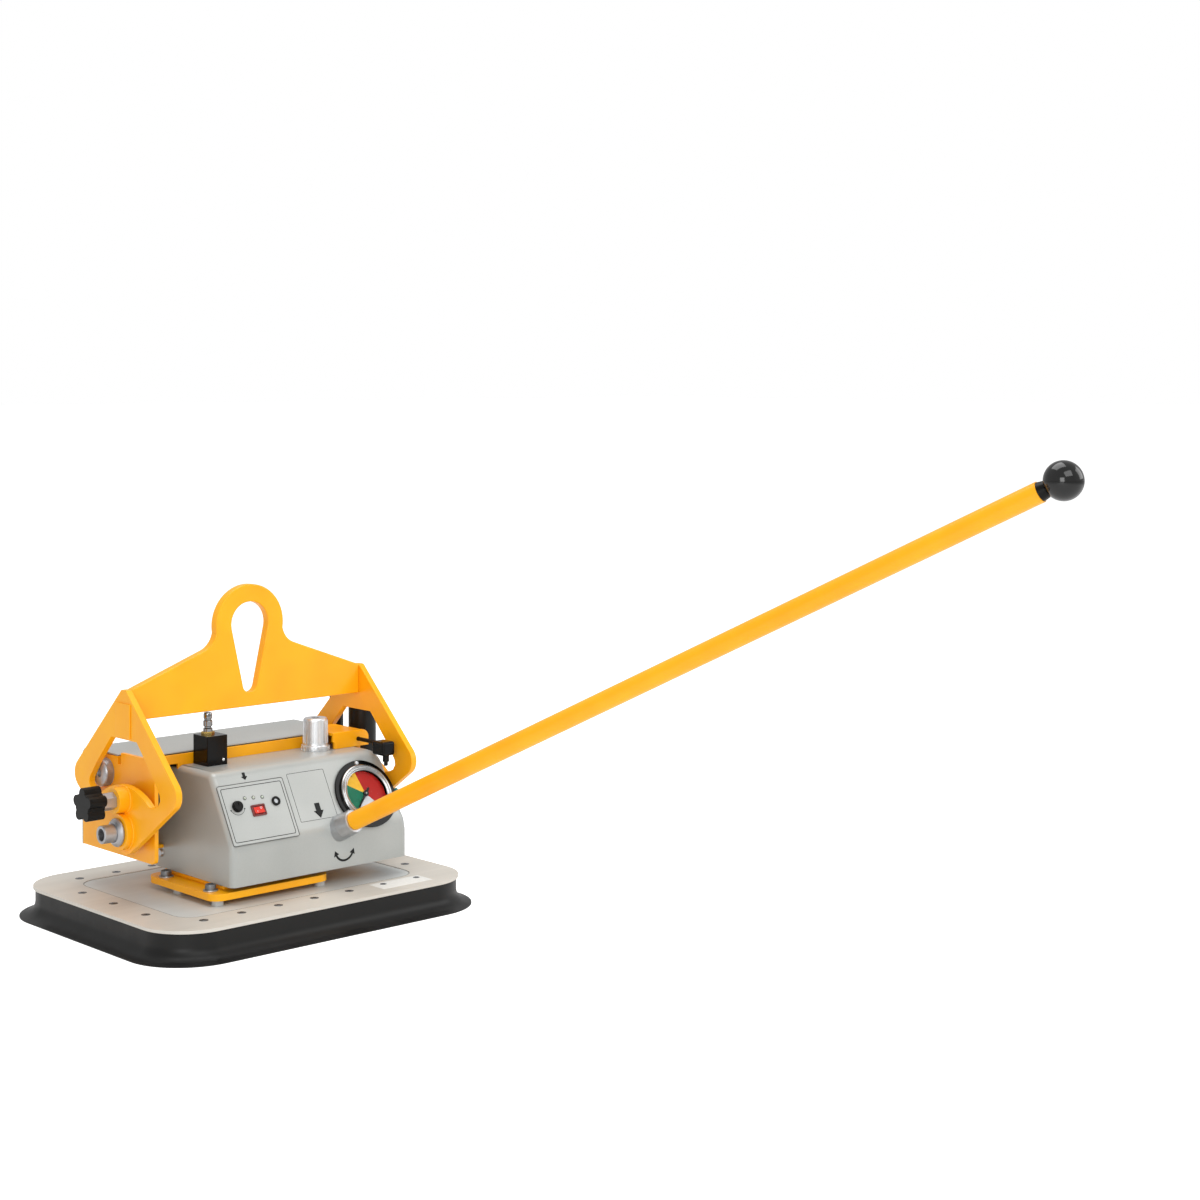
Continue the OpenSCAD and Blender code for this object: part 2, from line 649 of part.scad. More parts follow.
// Rocker with its own pin, set in the panel's cut-out.
rock_w = 13.2;
rock_r = 4.7;
rock_d = -1.2;
module power_switch() color([0.8, 0.1, 0.08]) difference() {
  on_panel(rock_at[0], rock_at[1], rock_d) rotate([0, 90, 0]) union() {
    translate([0, 0, -rock_w / 2]) cylinder(h = rock_w, r = rock_r);
    translate([0, 0, -rock_w / 2 - 0.4]) cylinder(h = rock_w + 0.8, r = 1.2);
  }
  on_panel(rock_at[0], rock_at[1], 2.6) rotate([12, 0, 0])
    translate([-10, 0, 0]) cube([20, 8, 3]);
}

module charge_jack() color(black) on_panel(jack_at[0], jack_at[1]) difference() {
  union() {
    translate([0, 0, -12]) cylinder(h = 13, r = 4);
    translate([0, 0, 0.8]) cylinder(h = 2, r = 5.6);
  }
  translate([0, 0, -9]) cylinder(h = 13, r = 2.8);
  translate([0, 0, -20]) cylinder(h = 8, r = 1);
}

module status_leds() color([0.3, 0.8, 0.3]) for (p = led_at) on_panel(p[0], p[1]) union() {
  translate([0, 0, -20.4]) cylinder(h = 21.4, r = 1.5);
  translate([0, 0, 1]) sphere(r = 1.5);
}

// ---- handle ----
module handle_collar() color(grey) difference() {
  on_handle(seat_t + 0.1) cylinder(h = 18, r1 = seat_r, r2 = 14);
  on_handle(4) cylinder(h = 20, r = tube_d / 2 + 0.02);
}

module handle_tube() color(yellow) difference() {
  on_handle(4) cylinder(h = reach - ball_d / 2 - 10, r = tube_d / 2);
  on_handle(3) cylinder(h = reach - 40 - ball_d / 2, r = tube_d / 2 - tube_wall);
}

module knob_ferrule() color(black) on_handle(reach - ball_d / 2 - 6)
  cylinder(h = 8, r1 = tube_d / 2 - 1, r2 = tube_d / 2 - 2.5);

module ball_knob() color(black) difference() {
  on_handle(reach) sphere(r = ball_d / 2);
  on_handle(reach - ball_d / 2 - 6) cylinder(h = 8, r1 = tube_d / 2 - 1, r2 = tube_d / 2 - 2.5);
}

// ---- bail ----
neck = 47;
neck_z = eye_z - 20.6;
sl = atan2(neck_z - top_arm, ax_in - neck);
fil = 26;
fil_x = neck + fil;
fil_z = top_arm + (fil - (fil_x - ax_in) * sin(sl)) / cos(sl);
tan_x = fil_x - fil * sin(sl);
tan_z = fil_z - fil * cos(sl);
tip_r = 10;
tip_z = eye_z - 72;
wide_z = eye_z + 1;
ph = asin((hole_r - tip_r) / (wide_z - tip_z));

// The beam: two shoulders that sweep up to a round eye with a drop-shaped hole.
module lifting_beam() color(yellow) plate_xz(-beam_t / 2, beam_t / 2) difference() {
  union() {
    translate([0, eye_z]) circle(eye_r);
    difference() {
      polygon([[-ax_in, beam_z], [ax_in, beam_z], [ax_in, top_arm], [tan_x, tan_z],
        [neck, fil_z], [-neck, fil_z], [-tan_x, tan_z], [-ax_in, top_arm]]);
      for (s = [-1, 1]) translate([s * fil_x, fil_z]) circle(fil);
    }
  }
  translate([0, wide_z]) circle(hole_r);
  translate([0, tip_z]) circle(tip_r);
  polygon([[hole_r * cos(ph), wide_z - hole_r * sin(ph)],
    [tip_r * cos(ph), tip_z - tip_r * sin(ph)],
    [-tip_r * cos(ph), tip_z - tip_r * sin(ph)],
    [-hole_r * cos(ph), wide_z - hole_r * sin(ph)]]);
}

// Direction of the arm's lower edge, tangent to the lobe and to the ear.
ed = sqrt(ear[0] * ear[0] + (ear[1] - pz) * (ear[1] - pz));
ea = atan2(ear[1] - pz, ear[0]) + asin((lobe_r - ear_r) / ed);
st = 43;
half_top = 5;
module arm_outline() {
  circle_at = [[ear[0], ear[1], ear_r], [-ear[0], ear[1], ear_r], [0, pz, lobe_r]];
  for (c = circle_at) translate([c[0], c[1]]) circle(c[2]);
  right = [[lobe_r * sin(ea), pz - lobe_r * cos(ea)],
    [ear[0] + ear_r * sin(ea), ear[1] - ear_r * cos(ea)],
    [ear[0] + ear_r * sin(st), ear[1] + ear_r * cos(st)], [half_top, top_arm]];
  left = [for (i = [3:-1:0]) [-right[i][0], right[i][1]]];
  polygon(concat(right, left));
}

// The window in the arm, flat above and arched below.
arch_r = 93;
arch_top = pz + 53;
module arm_window() difference() {
  polygon([[-28, pz + 106], [28, pz + 106], [61, pz + 72], [77, pz + 52], [78, pz + 46],
    [74, pz + 40], [66, pz + 36], [55, pz + 35], [-55, pz + 35], [-66, pz + 36],
    [-74, pz + 40], [-78, pz + 46], [-77, pz + 52], [-61, pz + 72]]);
  translate([0, arch_top - arch_r]) circle(arch_r);
}

module arm_left() color(yellow) difference() {
  union() {
    plate_yz(-ax_out, -ax_in) difference() {
      arm_outline();
      arm_window();
    }
    tube_x(0, pz, -ax_out - boss_t, -ax_out, boss_r);
    tube_x(0, pz + lock_r, -ax_out - lock_t, -ax_out, sleeve_r + 7);
  }
  tube_x(0, pz, -ax_out - boss_t - 1, -ax_in + 1, bush_r + 0.02);
  tube_x(0, pz + lock_r, -ax_out - lock_t - 1, -ax_in + 1, sleeve_r + 0.02);
}

module arm_right() color(yellow) difference() {
  union() {
    plate_yz(ax_in, ax_out) difference() {
      arm_outline();
      arm_window();
    }
    tube_x(0, pz, ax_out, ax_out + boss_t, boss_r);
  }
  tube_x(0, pz, ax_in - 1, ax_out + boss_t + 1, bush_r + 0.02);
}

// The hollow stubs that the bail turns on, each with a flange inside its end plate.
module pivot_tubes() color(silver) for (s = [-1, 1]) mirror([s < 0 ? 1 : 0, 0, 0])
  difference() {
    union() {
      tube_x(0, pz, pr_in, stub_end, stub_d / 2);
      tube_x(0, pz, pr_in - 4, pr_in, stub_d / 2 + stub_lip);
    }
    tube_x(0, pz, pr_in - 5, stub_end + 1, stub_bore / 2);
  }

// Flanged bushes, pressed into the arms and running on the stubs.
module pivot_bushes() color([0.72, 0.55, 0.25]) for (s = [-1, 1])
  mirror([s < 0 ? 1 : 0, 0, 0]) difference() {
    union() {
      tube_x(0, pz, ax_in, ax_out + boss_t, bush_r);
      tube_x(0, pz, bx + 0.4, ax_in, bush_f);
    }
    tube_x(0, pz, bx, ax_out + boss_t + 1, stub_d / 2 + fit);
  }

module pivot_collars() color(silver) for (s = [-1, 1]) mirror([s < 0 ? 1 : 0, 0, 0])
  difference() {
    union() {
      tube_x(0, pz, ax_out + boss_t + 0.4, ax_out + boss_t + 3, stub_d / 2 + 6);
      translate([ax_out + boss_t + 3, 0, pz]) rotate([0, 90, 0])
        cylinder(h = 4, r1 = stub_d / 2 + 6, r2 = stub_d / 2 + 2);
    }
    tube_x(0, pz, ax_out, ax_out + boss_t + 8, stub_d / 2 + 0.02);
  }

// The lock plunger: a threaded sleeve with a hexagon, the pin and its star knob.
module plunger_body() color(silver) difference() {
  union() {
    tube_x(0, pz + lock_r, -ax_out - lock_t, -ax_in, sleeve_r);
    translate([-ax_out - lock_t - hex_t, 0, pz + lock_r]) rotate([0, 90, 0])
      cylinder(h = hex_t, r = hex_af / 2 / cos(30), $fn = 6);
  }
  tube_x(0, pz + lock_r, -ax_out - lock_t - hex_t - 1, -ax_in + 1, pin_d / 2 + fit);
}

// The pin is drawn back at rest; one travel further in it stands through the end plate.
tip_x = -bx + plate_t + 0.6 - pin_travel;
star_x = -ax_out - lock_t - hex_t - 0.3;
module lock_pin() color(silver) union() {
  tube_x(0, pz + lock_r, star_x - pin_travel - 6, tip_x - 1.2, pin_d / 2);
  translate([tip_x - 1.2, 0, pz + lock_r]) rotate([0, 90, 0])
    cylinder(h = 1.2, r1 = pin_d / 2, r2 = pin_d / 2 - 1);
}

module star_knob() color(black) difference() {
  union() {
    tube_x(0, pz + lock_r, star_x - pin_travel - 14, star_x, star_r - 5.5);
    for (a = [18:72:306]) translate([star_x - pin_travel - 14, (star_r - 6.5) * cos(a),
      pz + lock_r + (star_r - 6.5) * sin(a)]) rotate([0, 90, 0])
        cylinder(h = pin_travel + 14, r = 6.5);
  }
  tube_x(0, pz + lock_r, star_x - pin_travel - 2.4, star_x + 1, hex_af / 2 / cos(30) + 0.6);
  tube_x(0, pz + lock_r, star_x - pin_travel - 6.5, star_x - 4, pin_d / 2 + 0.02);
}

// ---- right side ----
can_x = bx + 45;
can_y = 32;
pipe_y = 78;
// The manifold on the right pivot stub carries the filter canister and the hose.
module side_manifold() color(black) difference() {
  union() {
    box(ax_out + boss_t + 7.4, stub_end - 1, -16, 92, pz - 16, pz + 13);
    rod(can_x, can_y, pz + 5, pz + 13, 16);
  }
  tube_x(0, pz, ax_out, stub_end + 1, stub_d / 2 + 0.02);
}

module filter_canister() color(black) union() {
  rod(can_x, can_y, pz + 13, pz + 20, 14);
  rod(can_x, can_y, pz + 20, pz + 112, 17.5);
  rod(can_x, can_y, pz + 112, pz + 118, 12);
}

// The upright air pipe behind the canister, closed by a cap.
hose_x = stub_end - 11.3;
hose_r = 8.5;
module filter_hose() color(black) union() {
  rod(hose_x, pipe_y, pz + 13, pz + 108, hose_r);
  rod(hose_x, pipe_y, pz + 108, pz + 113, hose_r + 0.8);
}

// The small valve beside the panel, on a nipple from the bracket's hole.
module valve_block() color(black) union() {
  slab(bx - 16, bx + 2.5, -92, -68, cv_z1 - 4, cv_z1 + 13, 3);
  translate([bx - 6, -24, cv_z1 + 9]) rotate([90, 0, 0]) cylinder(h = 45, r = link_r);
  rod(bx - 6, -84, cv_z1 - 12, cv_z1 - 4, 4);
  rod(bx - 6, -84, cv_z1 - 17, cv_z1 - 12, 2.5);
}

rubber_seal();
base_plate();
clamp_frame();
clamp_screws();
pad_spacers();
adapter_plate();
adapter_bolts();
suction_port();
chassis();
end_plate_left();
end_plate_right();
frame_rail();
side_bracket();
back_cover();
front_cover();
cover_screws();
vacuum_tank();
ejector_body();
ejector_nozzle();
check_valve();
filter_body();
filter_cap();
alarm_box();
circuit_board();
battery_pack();
buzzer();
control_valve();
valve_spindle();
inlet_block();
air_nipple();
silencer();
gauge_flange();
gauge_case();
gauge_bezel();
gauge_dial();
gauge_needle();
gauge_glass();
gauge_screws();
alarm_panel();
set_knob();
power_switch();
charge_jack();
status_leds();
handle_collar();
handle_tube();
knob_ferrule();
ball_knob();
lifting_beam();
arm_left();
arm_right();
pivot_tubes();
pivot_bushes();
pivot_collars();
plunger_body();
lock_pin();
star_knob();
side_manifold();
filter_canister();
filter_hose();
valve_block();
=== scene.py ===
# %% [markdown]
# # A vacuum lifting head, finished in Blender
# The machine's frame comes from CAD: every solid is already in its place, in metres.
# This lesson gives each one its real finish, and models again the parts whose looks
# depend on soft edges, knurls, printed marks and welds.

# %% Load the CAD frame
import json
import math
import bpy
from mathutils import Matrix, Vector


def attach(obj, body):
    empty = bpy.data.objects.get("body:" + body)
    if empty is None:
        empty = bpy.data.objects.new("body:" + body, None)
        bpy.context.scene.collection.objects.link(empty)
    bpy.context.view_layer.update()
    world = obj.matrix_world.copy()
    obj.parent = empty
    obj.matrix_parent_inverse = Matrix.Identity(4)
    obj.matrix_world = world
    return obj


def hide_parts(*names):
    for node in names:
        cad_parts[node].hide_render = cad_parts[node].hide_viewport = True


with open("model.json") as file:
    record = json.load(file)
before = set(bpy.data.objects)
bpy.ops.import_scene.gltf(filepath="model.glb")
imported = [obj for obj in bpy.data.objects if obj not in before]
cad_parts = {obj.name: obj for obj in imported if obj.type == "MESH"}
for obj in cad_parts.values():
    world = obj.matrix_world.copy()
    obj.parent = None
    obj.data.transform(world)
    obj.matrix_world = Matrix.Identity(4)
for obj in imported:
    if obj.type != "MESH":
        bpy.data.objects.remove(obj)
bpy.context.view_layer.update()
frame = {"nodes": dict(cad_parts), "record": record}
print("CAD nodes:", len(frame["nodes"]))

# %% [markdown]
# ## Working by hand, in code
# Operators act on what is selected, so each step starts from an empty selection. A
# finished piece has its place in its mesh: its object stays at the origin, as the CAD
# nodes do, so patterns that read object coordinates stay where they belong.

# %% Small helpers
MM = 0.001


def only(*objects):
    """Selects these objects and nothing else, and makes the first one active."""
    if bpy.context.object and bpy.context.object.mode != "OBJECT":
        bpy.ops.object.mode_set(mode="OBJECT")
    bpy.ops.object.select_all(action="DESELECT")
    for item in objects:
        item.select_set(True)
    bpy.context.view_layer.objects.active = objects[0]


def clear_selection():
    bpy.ops.object.select_all(action="DESELECT")
    bpy.context.view_layer.objects.active = None


def settle(piece, name, place=None):
    """Names a piece, puts it in its place and bakes that place into its mesh."""
    only(piece)
    piece.name = name
    if place is not None:
        piece.matrix_world = place @ piece.matrix_world
    bpy.context.view_layer.update()
    bpy.ops.object.transform_apply(location=True, rotation=True, scale=True)
    return piece


def pick_faces(piece, test):
    """Enters edit mode with only the faces chosen by test(centre, normal) selected."""
    only(piece)
    bpy.ops.object.mode_set(mode="EDIT")
    bpy.ops.mesh.select_mode(type="FACE")
    bpy.ops.mesh.select_all(action="DESELECT")
    bpy.ops.object.mode_set(mode="OBJECT")
    count = 0
    for face in piece.data.polygons:
        face.select = bool(test(face.center, face.normal))
        count += face.select
    bpy.ops.object.mode_set(mode="EDIT")
    return count


def leave_edit():
    bpy.ops.object.mode_set(mode="OBJECT")


def shade(piece, angle=40):
    """Shades smooth up to this angle, and keeps the large flat faces flat."""
    only(piece)
    bpy.ops.object.shade_smooth_by_angle(angle=math.radians(angle))
    flat = piece.modifiers.new("flat", "WEIGHTED_NORMAL")
    flat.keep_sharp = True
    flat.weight = 100
    bpy.ops.object.modifier_apply(modifier=flat.name)
    return piece


def round_edges(piece, width, steps=3, limit=30, clamp=True):
    """Rounds the sharp edges with a bevel, and shades the rest smooth."""
    only(piece)
    bevel = piece.modifiers.new("edge", "BEVEL")
    bevel.width = width * MM
    bevel.segments = steps
    bevel.limit_method = "ANGLE"
    bevel.angle_limit = math.radians(limit)
    bevel.use_clamp_overlap = clamp
    bevel.harden_normals = False
    bpy.ops.object.modifier_apply(modifier=bevel.name)
    return shade(piece)


def whole_faces(piece, gap=0.02):
    """Joins doubled points, and flat neighbours into whole faces."""
    only(piece)
    bpy.ops.object.mode_set(mode="EDIT")
    bpy.ops.mesh.select_all(action="SELECT")
    bpy.ops.mesh.remove_doubles(threshold=gap * MM)
    bpy.ops.mesh.dissolve_limited(angle_limit=math.radians(0.6), delimit={"NORMAL"})
    leave_edit()


def turned(place, *turns):
    """A place in millimetres, then turns about X, Y or Z in degrees."""
    matrix = Matrix.Translation(Vector(place) * MM)
    for axis, angle in turns:
        matrix = matrix @ Matrix.Rotation(math.radians(angle), 4, axis)
    return matrix


COVER_FRONT, FOLD_HEIGHT, COVER_TOP, PANEL_LEAN = -105, 103, 182, 30
PANEL = turned((0, COVER_FRONT, FOLD_HEIGHT), ("X", 90 - PANEL_LEAN))
FRONT = turned((0, COVER_FRONT, 0), ("X", 90))
ACROSS = turned((0, 0, 0), ("Z", 90), ("X", 90))
FACING_LEFT = ("Y", -90)

# %% [markdown]
# ## Three ways to start a piece
# Flat things, such as a label's border or the side of a folded cover, start as a circle
# whose corners are moved to their places before the face is drawn out. Line frames start
# as a plane that is inset. Turned things are drawn out ring by ring from a circle, as a
# lathe would cut them. All three are steps a person could do by hand.

# %% Sheets, line frames and turned pieces
def thicken(height):
    """Draws out what is selected, in edit mode, and points all faces outwards."""
    bpy.ops.mesh.select_all(action="SELECT")
    bpy.ops.mesh.extrude_region_move(TRANSFORM_OT_translate={"value": (0, 0, height * MM)})
    bpy.ops.mesh.select_all(action="SELECT")
    bpy.ops.mesh.normals_make_consistent(inside=False)
    leave_edit()


def sheet(name, points, base, height, place):
    """A flat sheet with this outline, from base to base + height along its own Z."""
    clear_selection()
    bpy.ops.mesh.primitive_circle_add(vertices=len(points), radius=MM, fill_type="NGON")
    piece = bpy.context.object
    corners = [vertex.co.copy() for vertex in piece.data.vertices]
    for index, (x, y) in enumerate(points):
        bpy.ops.object.mode_set(mode="EDIT")
        bpy.ops.mesh.select_mode(type="VERT")
        bpy.ops.mesh.select_all(action="DESELECT")
        leave_edit()
        piece.data.vertices[index].select = True
        bpy.ops.object.mode_set(mode="EDIT")
        bpy.ops.transform.translate(value=Vector((x, y, base)) * MM - corners[index])
        leave_edit()
    bpy.ops.object.mode_set(mode="EDIT")
    thicken(height)
    return settle(piece, name, place)


def block(name, low, high, place=None):
    """A box between two corners, as a start for cutting and rounding."""
    clear_selection()
    middle = [(a + b) / 2 * MM for a, b in zip(low, high)]
    bpy.ops.mesh.primitive_cube_add(size=1, location=middle)
    bpy.ops.transform.resize(value=[(b - a) * MM for a, b in zip(low, high)])
    return settle(bpy.context.object, name, place)


def line_frame(name, sides, radius, line, base, height, place):
    """A thin line round a rectangle (x0, x1, y0, y1) with round corners."""
    x0, x1, y0, y1 = sides
    clear_selection()
    bpy.ops.mesh.primitive_plane_add(
        size=1, location=((x0 + x1) / 2 * MM, (y0 + y1) / 2 * MM, base * MM))
    bpy.ops.transform.resize(value=((x1 - x0) * MM, (y1 - y0) * MM, 1))
    piece = settle(bpy.context.object, name)
    bpy.ops.object.mode_set(mode="EDIT")
    bpy.ops.mesh.select_all(action="SELECT")
    bpy.ops.mesh.bevel(offset=radius * MM, segments=4, affect="VERTICES")
    bpy.ops.mesh.select_all(action="SELECT")
    bpy.ops.mesh.inset(thickness=line * MM)
    bpy.ops.mesh.delete(type="FACE")
    thicken(height)
    return settle(piece, name, place)


def turned_piece(name, profile, place, sides=64):
    """Draws a turned piece ring by ring through (radius, height) pairs, and closes it."""
    clear_selection()
    radius, height = profile[0]
    bpy.ops.mesh.primitive_circle_add(vertices=sides, radius=radius * MM,
                                      fill_type="NOTHING", location=(0, 0, height * MM))
    piece = bpy.context.object
    bpy.ops.object.mode_set(mode="EDIT")
    bpy.ops.mesh.select_all(action="SELECT")
    for new_radius, new_height in profile[1:]:
        bpy.ops.mesh.extrude_edges_move(
            TRANSFORM_OT_translate={"value": (0, 0, (new_height - height) * MM)})
        bpy.ops.transform.resize(value=(new_radius / radius, new_radius / radius, 1))
        radius, height = new_radius, new_height
    bpy.ops.mesh.select_all(action="SELECT")
    bpy.ops.mesh.remove_doubles(threshold=0.005 * MM)
    bpy.ops.mesh.select_all(action="DESELECT")
    bpy.ops.mesh.select_mode(type="EDGE")
    bpy.ops.mesh.select_non_manifold(extend=False)
    if profile[0] != profile[-1]:
        bpy.ops.mesh.edge_face_add()
    bpy.ops.mesh.select_all(action="SELECT")
    bpy.ops.mesh.normals_make_consistent(inside=False)
    leave_edit()
    return settle(piece, name, place)


def arc(radius, start, end, steps, centre=(0, 0)):
    """Points on an arc, in millimetres, from start to end in degrees."""
    turns = [math.radians(start + (end - start) * i / steps) for i in range(steps + 1)]
    return [(centre[0] + radius * math.cos(t), centre[1] + radius * math.sin(t))
            for t in turns]


def band(inner, outer, start, end, steps, centre=(0, 0)):
    return arc(outer, start, end, steps, centre) + arc(inner, end, start, steps, centre)


def cut(piece, tool, operation="DIFFERENCE"):
    """Cuts one closed solid with another, and removes the tool."""
    only(piece)
    boolean = piece.modifiers.new("cut", "BOOLEAN")
    boolean.operation = operation
    boolean.solver = "EXACT"
    boolean.object = tool
    bpy.ops.object.modifier_apply(modifier=boolean.name)
    bpy.data.objects.remove(tool, do_unlink=True)
    return piece


def drill(name, radius, base, height, place, sides=48):
    """A round cutter standing on the XY plane of its place."""
    clear_selection()
    bpy.ops.mesh.primitive_cylinder_add(vertices=sides, radius=radius * MM,
                                        depth=height * MM,
                                        location=(0, 0, (base + height / 2) * MM))
    return settle(bpy.context.object, name, place)


# %% [markdown]
# ## Colours and nodes
# Paint chips are read as sRGB hex values. Shaders work in linear light, so one function
# turns a hex value to linear. One more adds a shader node with its settings and links.

# %% Colour and node helpers
def linear(code, alpha=1.0):
    channels = [int(code[i:i + 2], 16) / 255 for i in (1, 3, 5)]
    out = [c / 12.92 if c <= 0.04045 else ((c + 0.055) / 1.055) ** 2.4 for c in channels]
    return (*out, alpha)


def add_node(tree, kind, values=None, links=None, **settings):
    """Adds one node: its settings, its socket values, and its links from other nodes."""
    item = tree.nodes.new(kind)
    for key, value in settings.items():
        setattr(item, key, value)
    for key, value in (values or {}).items():
        item.inputs[key].default_value = value
    for key, source in (links or {}).items():
        tree.links.new(source, item.inputs[key])
    return item


def new_material(name):
    material = bpy.data.materials.new(name)
    material.use_nodes = True
    tree = material.node_tree
    tree.nodes.clear()
    shader = add_node(tree, "ShaderNodeBsdfPrincipled")
    out = add_node(tree, "ShaderNodeOutputMaterial", links={"Surface": shader.outputs[0]})
    place = add_node(tree, "ShaderNodeTexCoord").outputs["Object"]
    return material, tree, shader, place


def grain(tree, place, pitch_mm, detail=3.0, rough=0.5, stretch=(1, 1, 1), turn=(0, 0, 0)):
    """Noise whose lumps are about pitch_mm apart, stretched along an axis if asked."""
    mapping = add_node(tree, "ShaderNodeMapping",
                       {"Scale": tuple(1 / s for s in stretch), "Rotation": turn},
                       {"Vector": place})
    return add_node(tree, "ShaderNodeTexNoise",
                    {"Scale": 1000 / pitch_mm, "Detail": detail, "Roughness": rough},
                    {"Vector": mapping.outputs[0]}).outputs["Fac"]


def ramp(tree, factor, low, high, start=0.0, end=1.0):
    """Runs from colour low to colour high between two values of factor."""
    item = add_node(tree, "ShaderNodeValToRGB", links={"Fac": factor})
    item.color_ramp.elements[0].position = start
    item.color_ramp.elements[1].position = end
    item.color_ramp.elements[0].color = low
    item.color_ramp.elements[1].color = high
    return item.outputs["Color"]


def spread(tree, factor, low, high, start=0.3, end=0.7):
    """Maps factor from start..end to low..high, for roughness."""
    return add_node(tree, "ShaderNodeMapRange",
                    {"From Min": start, "From Max": end, "To Min": low, "To Max": high},
                    {"Value": factor}).outputs["Result"]


def relief(tree, shader, height, depth_mm, strength=1.0):
    bump = add_node(tree, "ShaderNodeBump",
                    {"Distance": depth_mm * MM, "Strength": strength}, {"Height": height})
    tree.links.new(bump.outputs[0], shader.inputs["Normal"])


# %% [markdown]
# ## Yellow powder coat
# The bail, plates, bracket and handle are steel, sprayed with polyester powder and baked.
# That leaves a satin skin with a faint orange peel. The peel is drawn at 3 mm, coarser
# than the real 1 mm, so that it shows at this distance. The colour drifts a little where
# the film is thicker, and hard use leaves faint dull smears.

# %% Yellow powder coat
def yellow_powder_coat():
    material, tree, shader, place = new_material("yellow_powder_coat")
    drift = grain(tree, place, 60, 2)
    colour = ramp(tree, drift, linear("#FAA806"), linear("#FFB40A"), 0.3, 0.7)
    tree.links.new(colour, shader.inputs["Base Color"])
    smear = grain(tree, place, 18, 4, 0.6, (1, 1, 3))
    tree.links.new(spread(tree, smear, 0.3, 0.42), shader.inputs["Roughness"])
    relief(tree, shader, grain(tree, place, 3, 1), 0.05, 0.5)
    shader.inputs["Specular IOR Level"].default_value = 0.35
    shader.inputs["Coat Weight"].default_value = 0.1
    shader.inputs["Coat Roughness"].default_value = 0.12
    return material


# %% [markdown]
# ## Silver-grey powder coat
# The two covers are folded steel in a silver-grey powder with a little metal flake. The
# flake is drawn at 1.2 mm so that it shows, as a faint change in the sheen.

# %% Silver-grey powder coat
def silver_powder_coat():
    material, tree, shader, place = new_material("silver_grey_powder_coat")
    flake = grain(tree, place, 1.2, 1)
    drift = grain(tree, place, 80, 2)
    most = add_node(tree, "ShaderNodeMath", {1: 0.75}, {0: drift}, operation="MULTIPLY")
    rest = add_node(tree, "ShaderNodeMath", {1: 0.25}, {0: flake}, operation="MULTIPLY")
    total = add_node(tree, "ShaderNodeMath", operation="ADD",
                     links={0: most.outputs[0], 1: rest.outputs[0]})
    colour = ramp(tree, total.outputs[0], linear("#A4A7A4"), linear("#AEB1AE"), 0.35, 0.65)
    tree.links.new(colour, shader.inputs["Base Color"])
    shader.inputs["Metallic"].default_value = 0.12
    shader.inputs["Coat Weight"].default_value = 0.3
    shader.inputs["Coat Roughness"].default_value = 0.22
    tree.links.new(spread(tree, flake, 0.3, 0.42), shader.inputs["Roughness"])
    relief(tree, shader, grain(tree, place, 2.5, 1), 0.04, 0.4)
    return material


# %% [markdown]
# ## Brushed aluminium plate
# The pad's clamp frame and base plate are bare aluminium, brushed along their length by a
# belt. The lines are drawn about 0.8 mm apart. Long, faint bands come from the belt, and
# dull patches from hands and rain.

# %% Brushed aluminium
def brushed_aluminium(name, low="#CBC7BE", high="#D9D4CB", rough=(0.44, 0.56)):
    material, tree, shader, place = new_material(name)
    lines = grain(tree, place, 0.8, 2, 0.6, (90, 1, 1))
    bands = grain(tree, place, 22, 2, 0.5, (9, 1, 1))
    patch = grain(tree, place, 70, 3)
    both = add_node(tree, "ShaderNodeMath", links={0: lines, 1: bands}, operation="ADD")
    half = add_node(tree, "ShaderNodeMath", {1: 0.5}, {0: both.outputs[0]},
                    operation="MULTIPLY")
    colour = ramp(tree, half.outputs[0], linear(low), linear(high), 0.3, 0.7)
    tree.links.new(colour, shader.inputs["Base Color"])
    shader.inputs["Metallic"].default_value = 0.35
    tree.links.new(spread(tree, patch, *rough), shader.inputs["Roughness"])
    relief(tree, shader, lines, 0.02, 0.35)
    return material


# %% [markdown]
# ## Turned, plated and polished metal
# The stubs, collars and pins are turned on a lathe, so fine rings run round them. Screws
# are zinc plated, with a slightly cloudy, bluish skin. Plated and polished parts are
# smooth but for faint finger marks, and differ in how sharply they mirror.

# %% Turned steel, zinc plate, chrome and bronze
def turned_metal(name, low, high, rough, pitch_mm=0.6):
    material, tree, shader, place = new_material(name)
    rings = grain(tree, place, pitch_mm, 2, 0.5, (1, 30, 30))
    cloud = grain(tree, place, 12, 3)
    tree.links.new(ramp(tree, cloud, linear(low), linear(high), 0.3, 0.7),
                   shader.inputs["Base Color"])
    shader.inputs["Metallic"].default_value = 0.85
    tree.links.new(spread(tree, rings, *rough), shader.inputs["Roughness"])
    relief(tree, shader, rings, 0.02, 0.4)
    return material


def polished_chrome(name, low, high, rough):
    material, tree, shader, place = new_material(name)
    marks = grain(tree, place, 8, 4, 0.7)
    tree.links.new(ramp(tree, marks, linear(low), linear(high), 0.3, 0.7),
                   shader.inputs["Base Color"])
    shader.inputs["Metallic"].default_value = 1.0
    tree.links.new(spread(tree, marks, *rough), shader.inputs["Roughness"])
    return material


# %% [markdown]
# ## Rubber
# The lip is moulded natural rubber: almost black, with a dull bloom that greys it in
# clouds, and fine mould grain. It is rough, yet it lifts a soft highlight where it curves.

# %% Moulded rubber
def moulded_rubber(name, low, high, rough):
    material, tree, shader, place = new_material(name)
    shader.inputs["Specular IOR Level"].default_value = 0.3
    bloom = grain(tree, place, 35, 4, 0.6)
    tree.links.new(ramp(tree, bloom, linear(low), linear(high), 0.3, 0.75),
                   shader.inputs["Base Color"])
    tree.links.new(spread(tree, bloom, *rough), shader.inputs["Roughness"])
    relief(tree, shader, grain(tree, place, 1.5, 2), 0.08, 0.4)
    return material


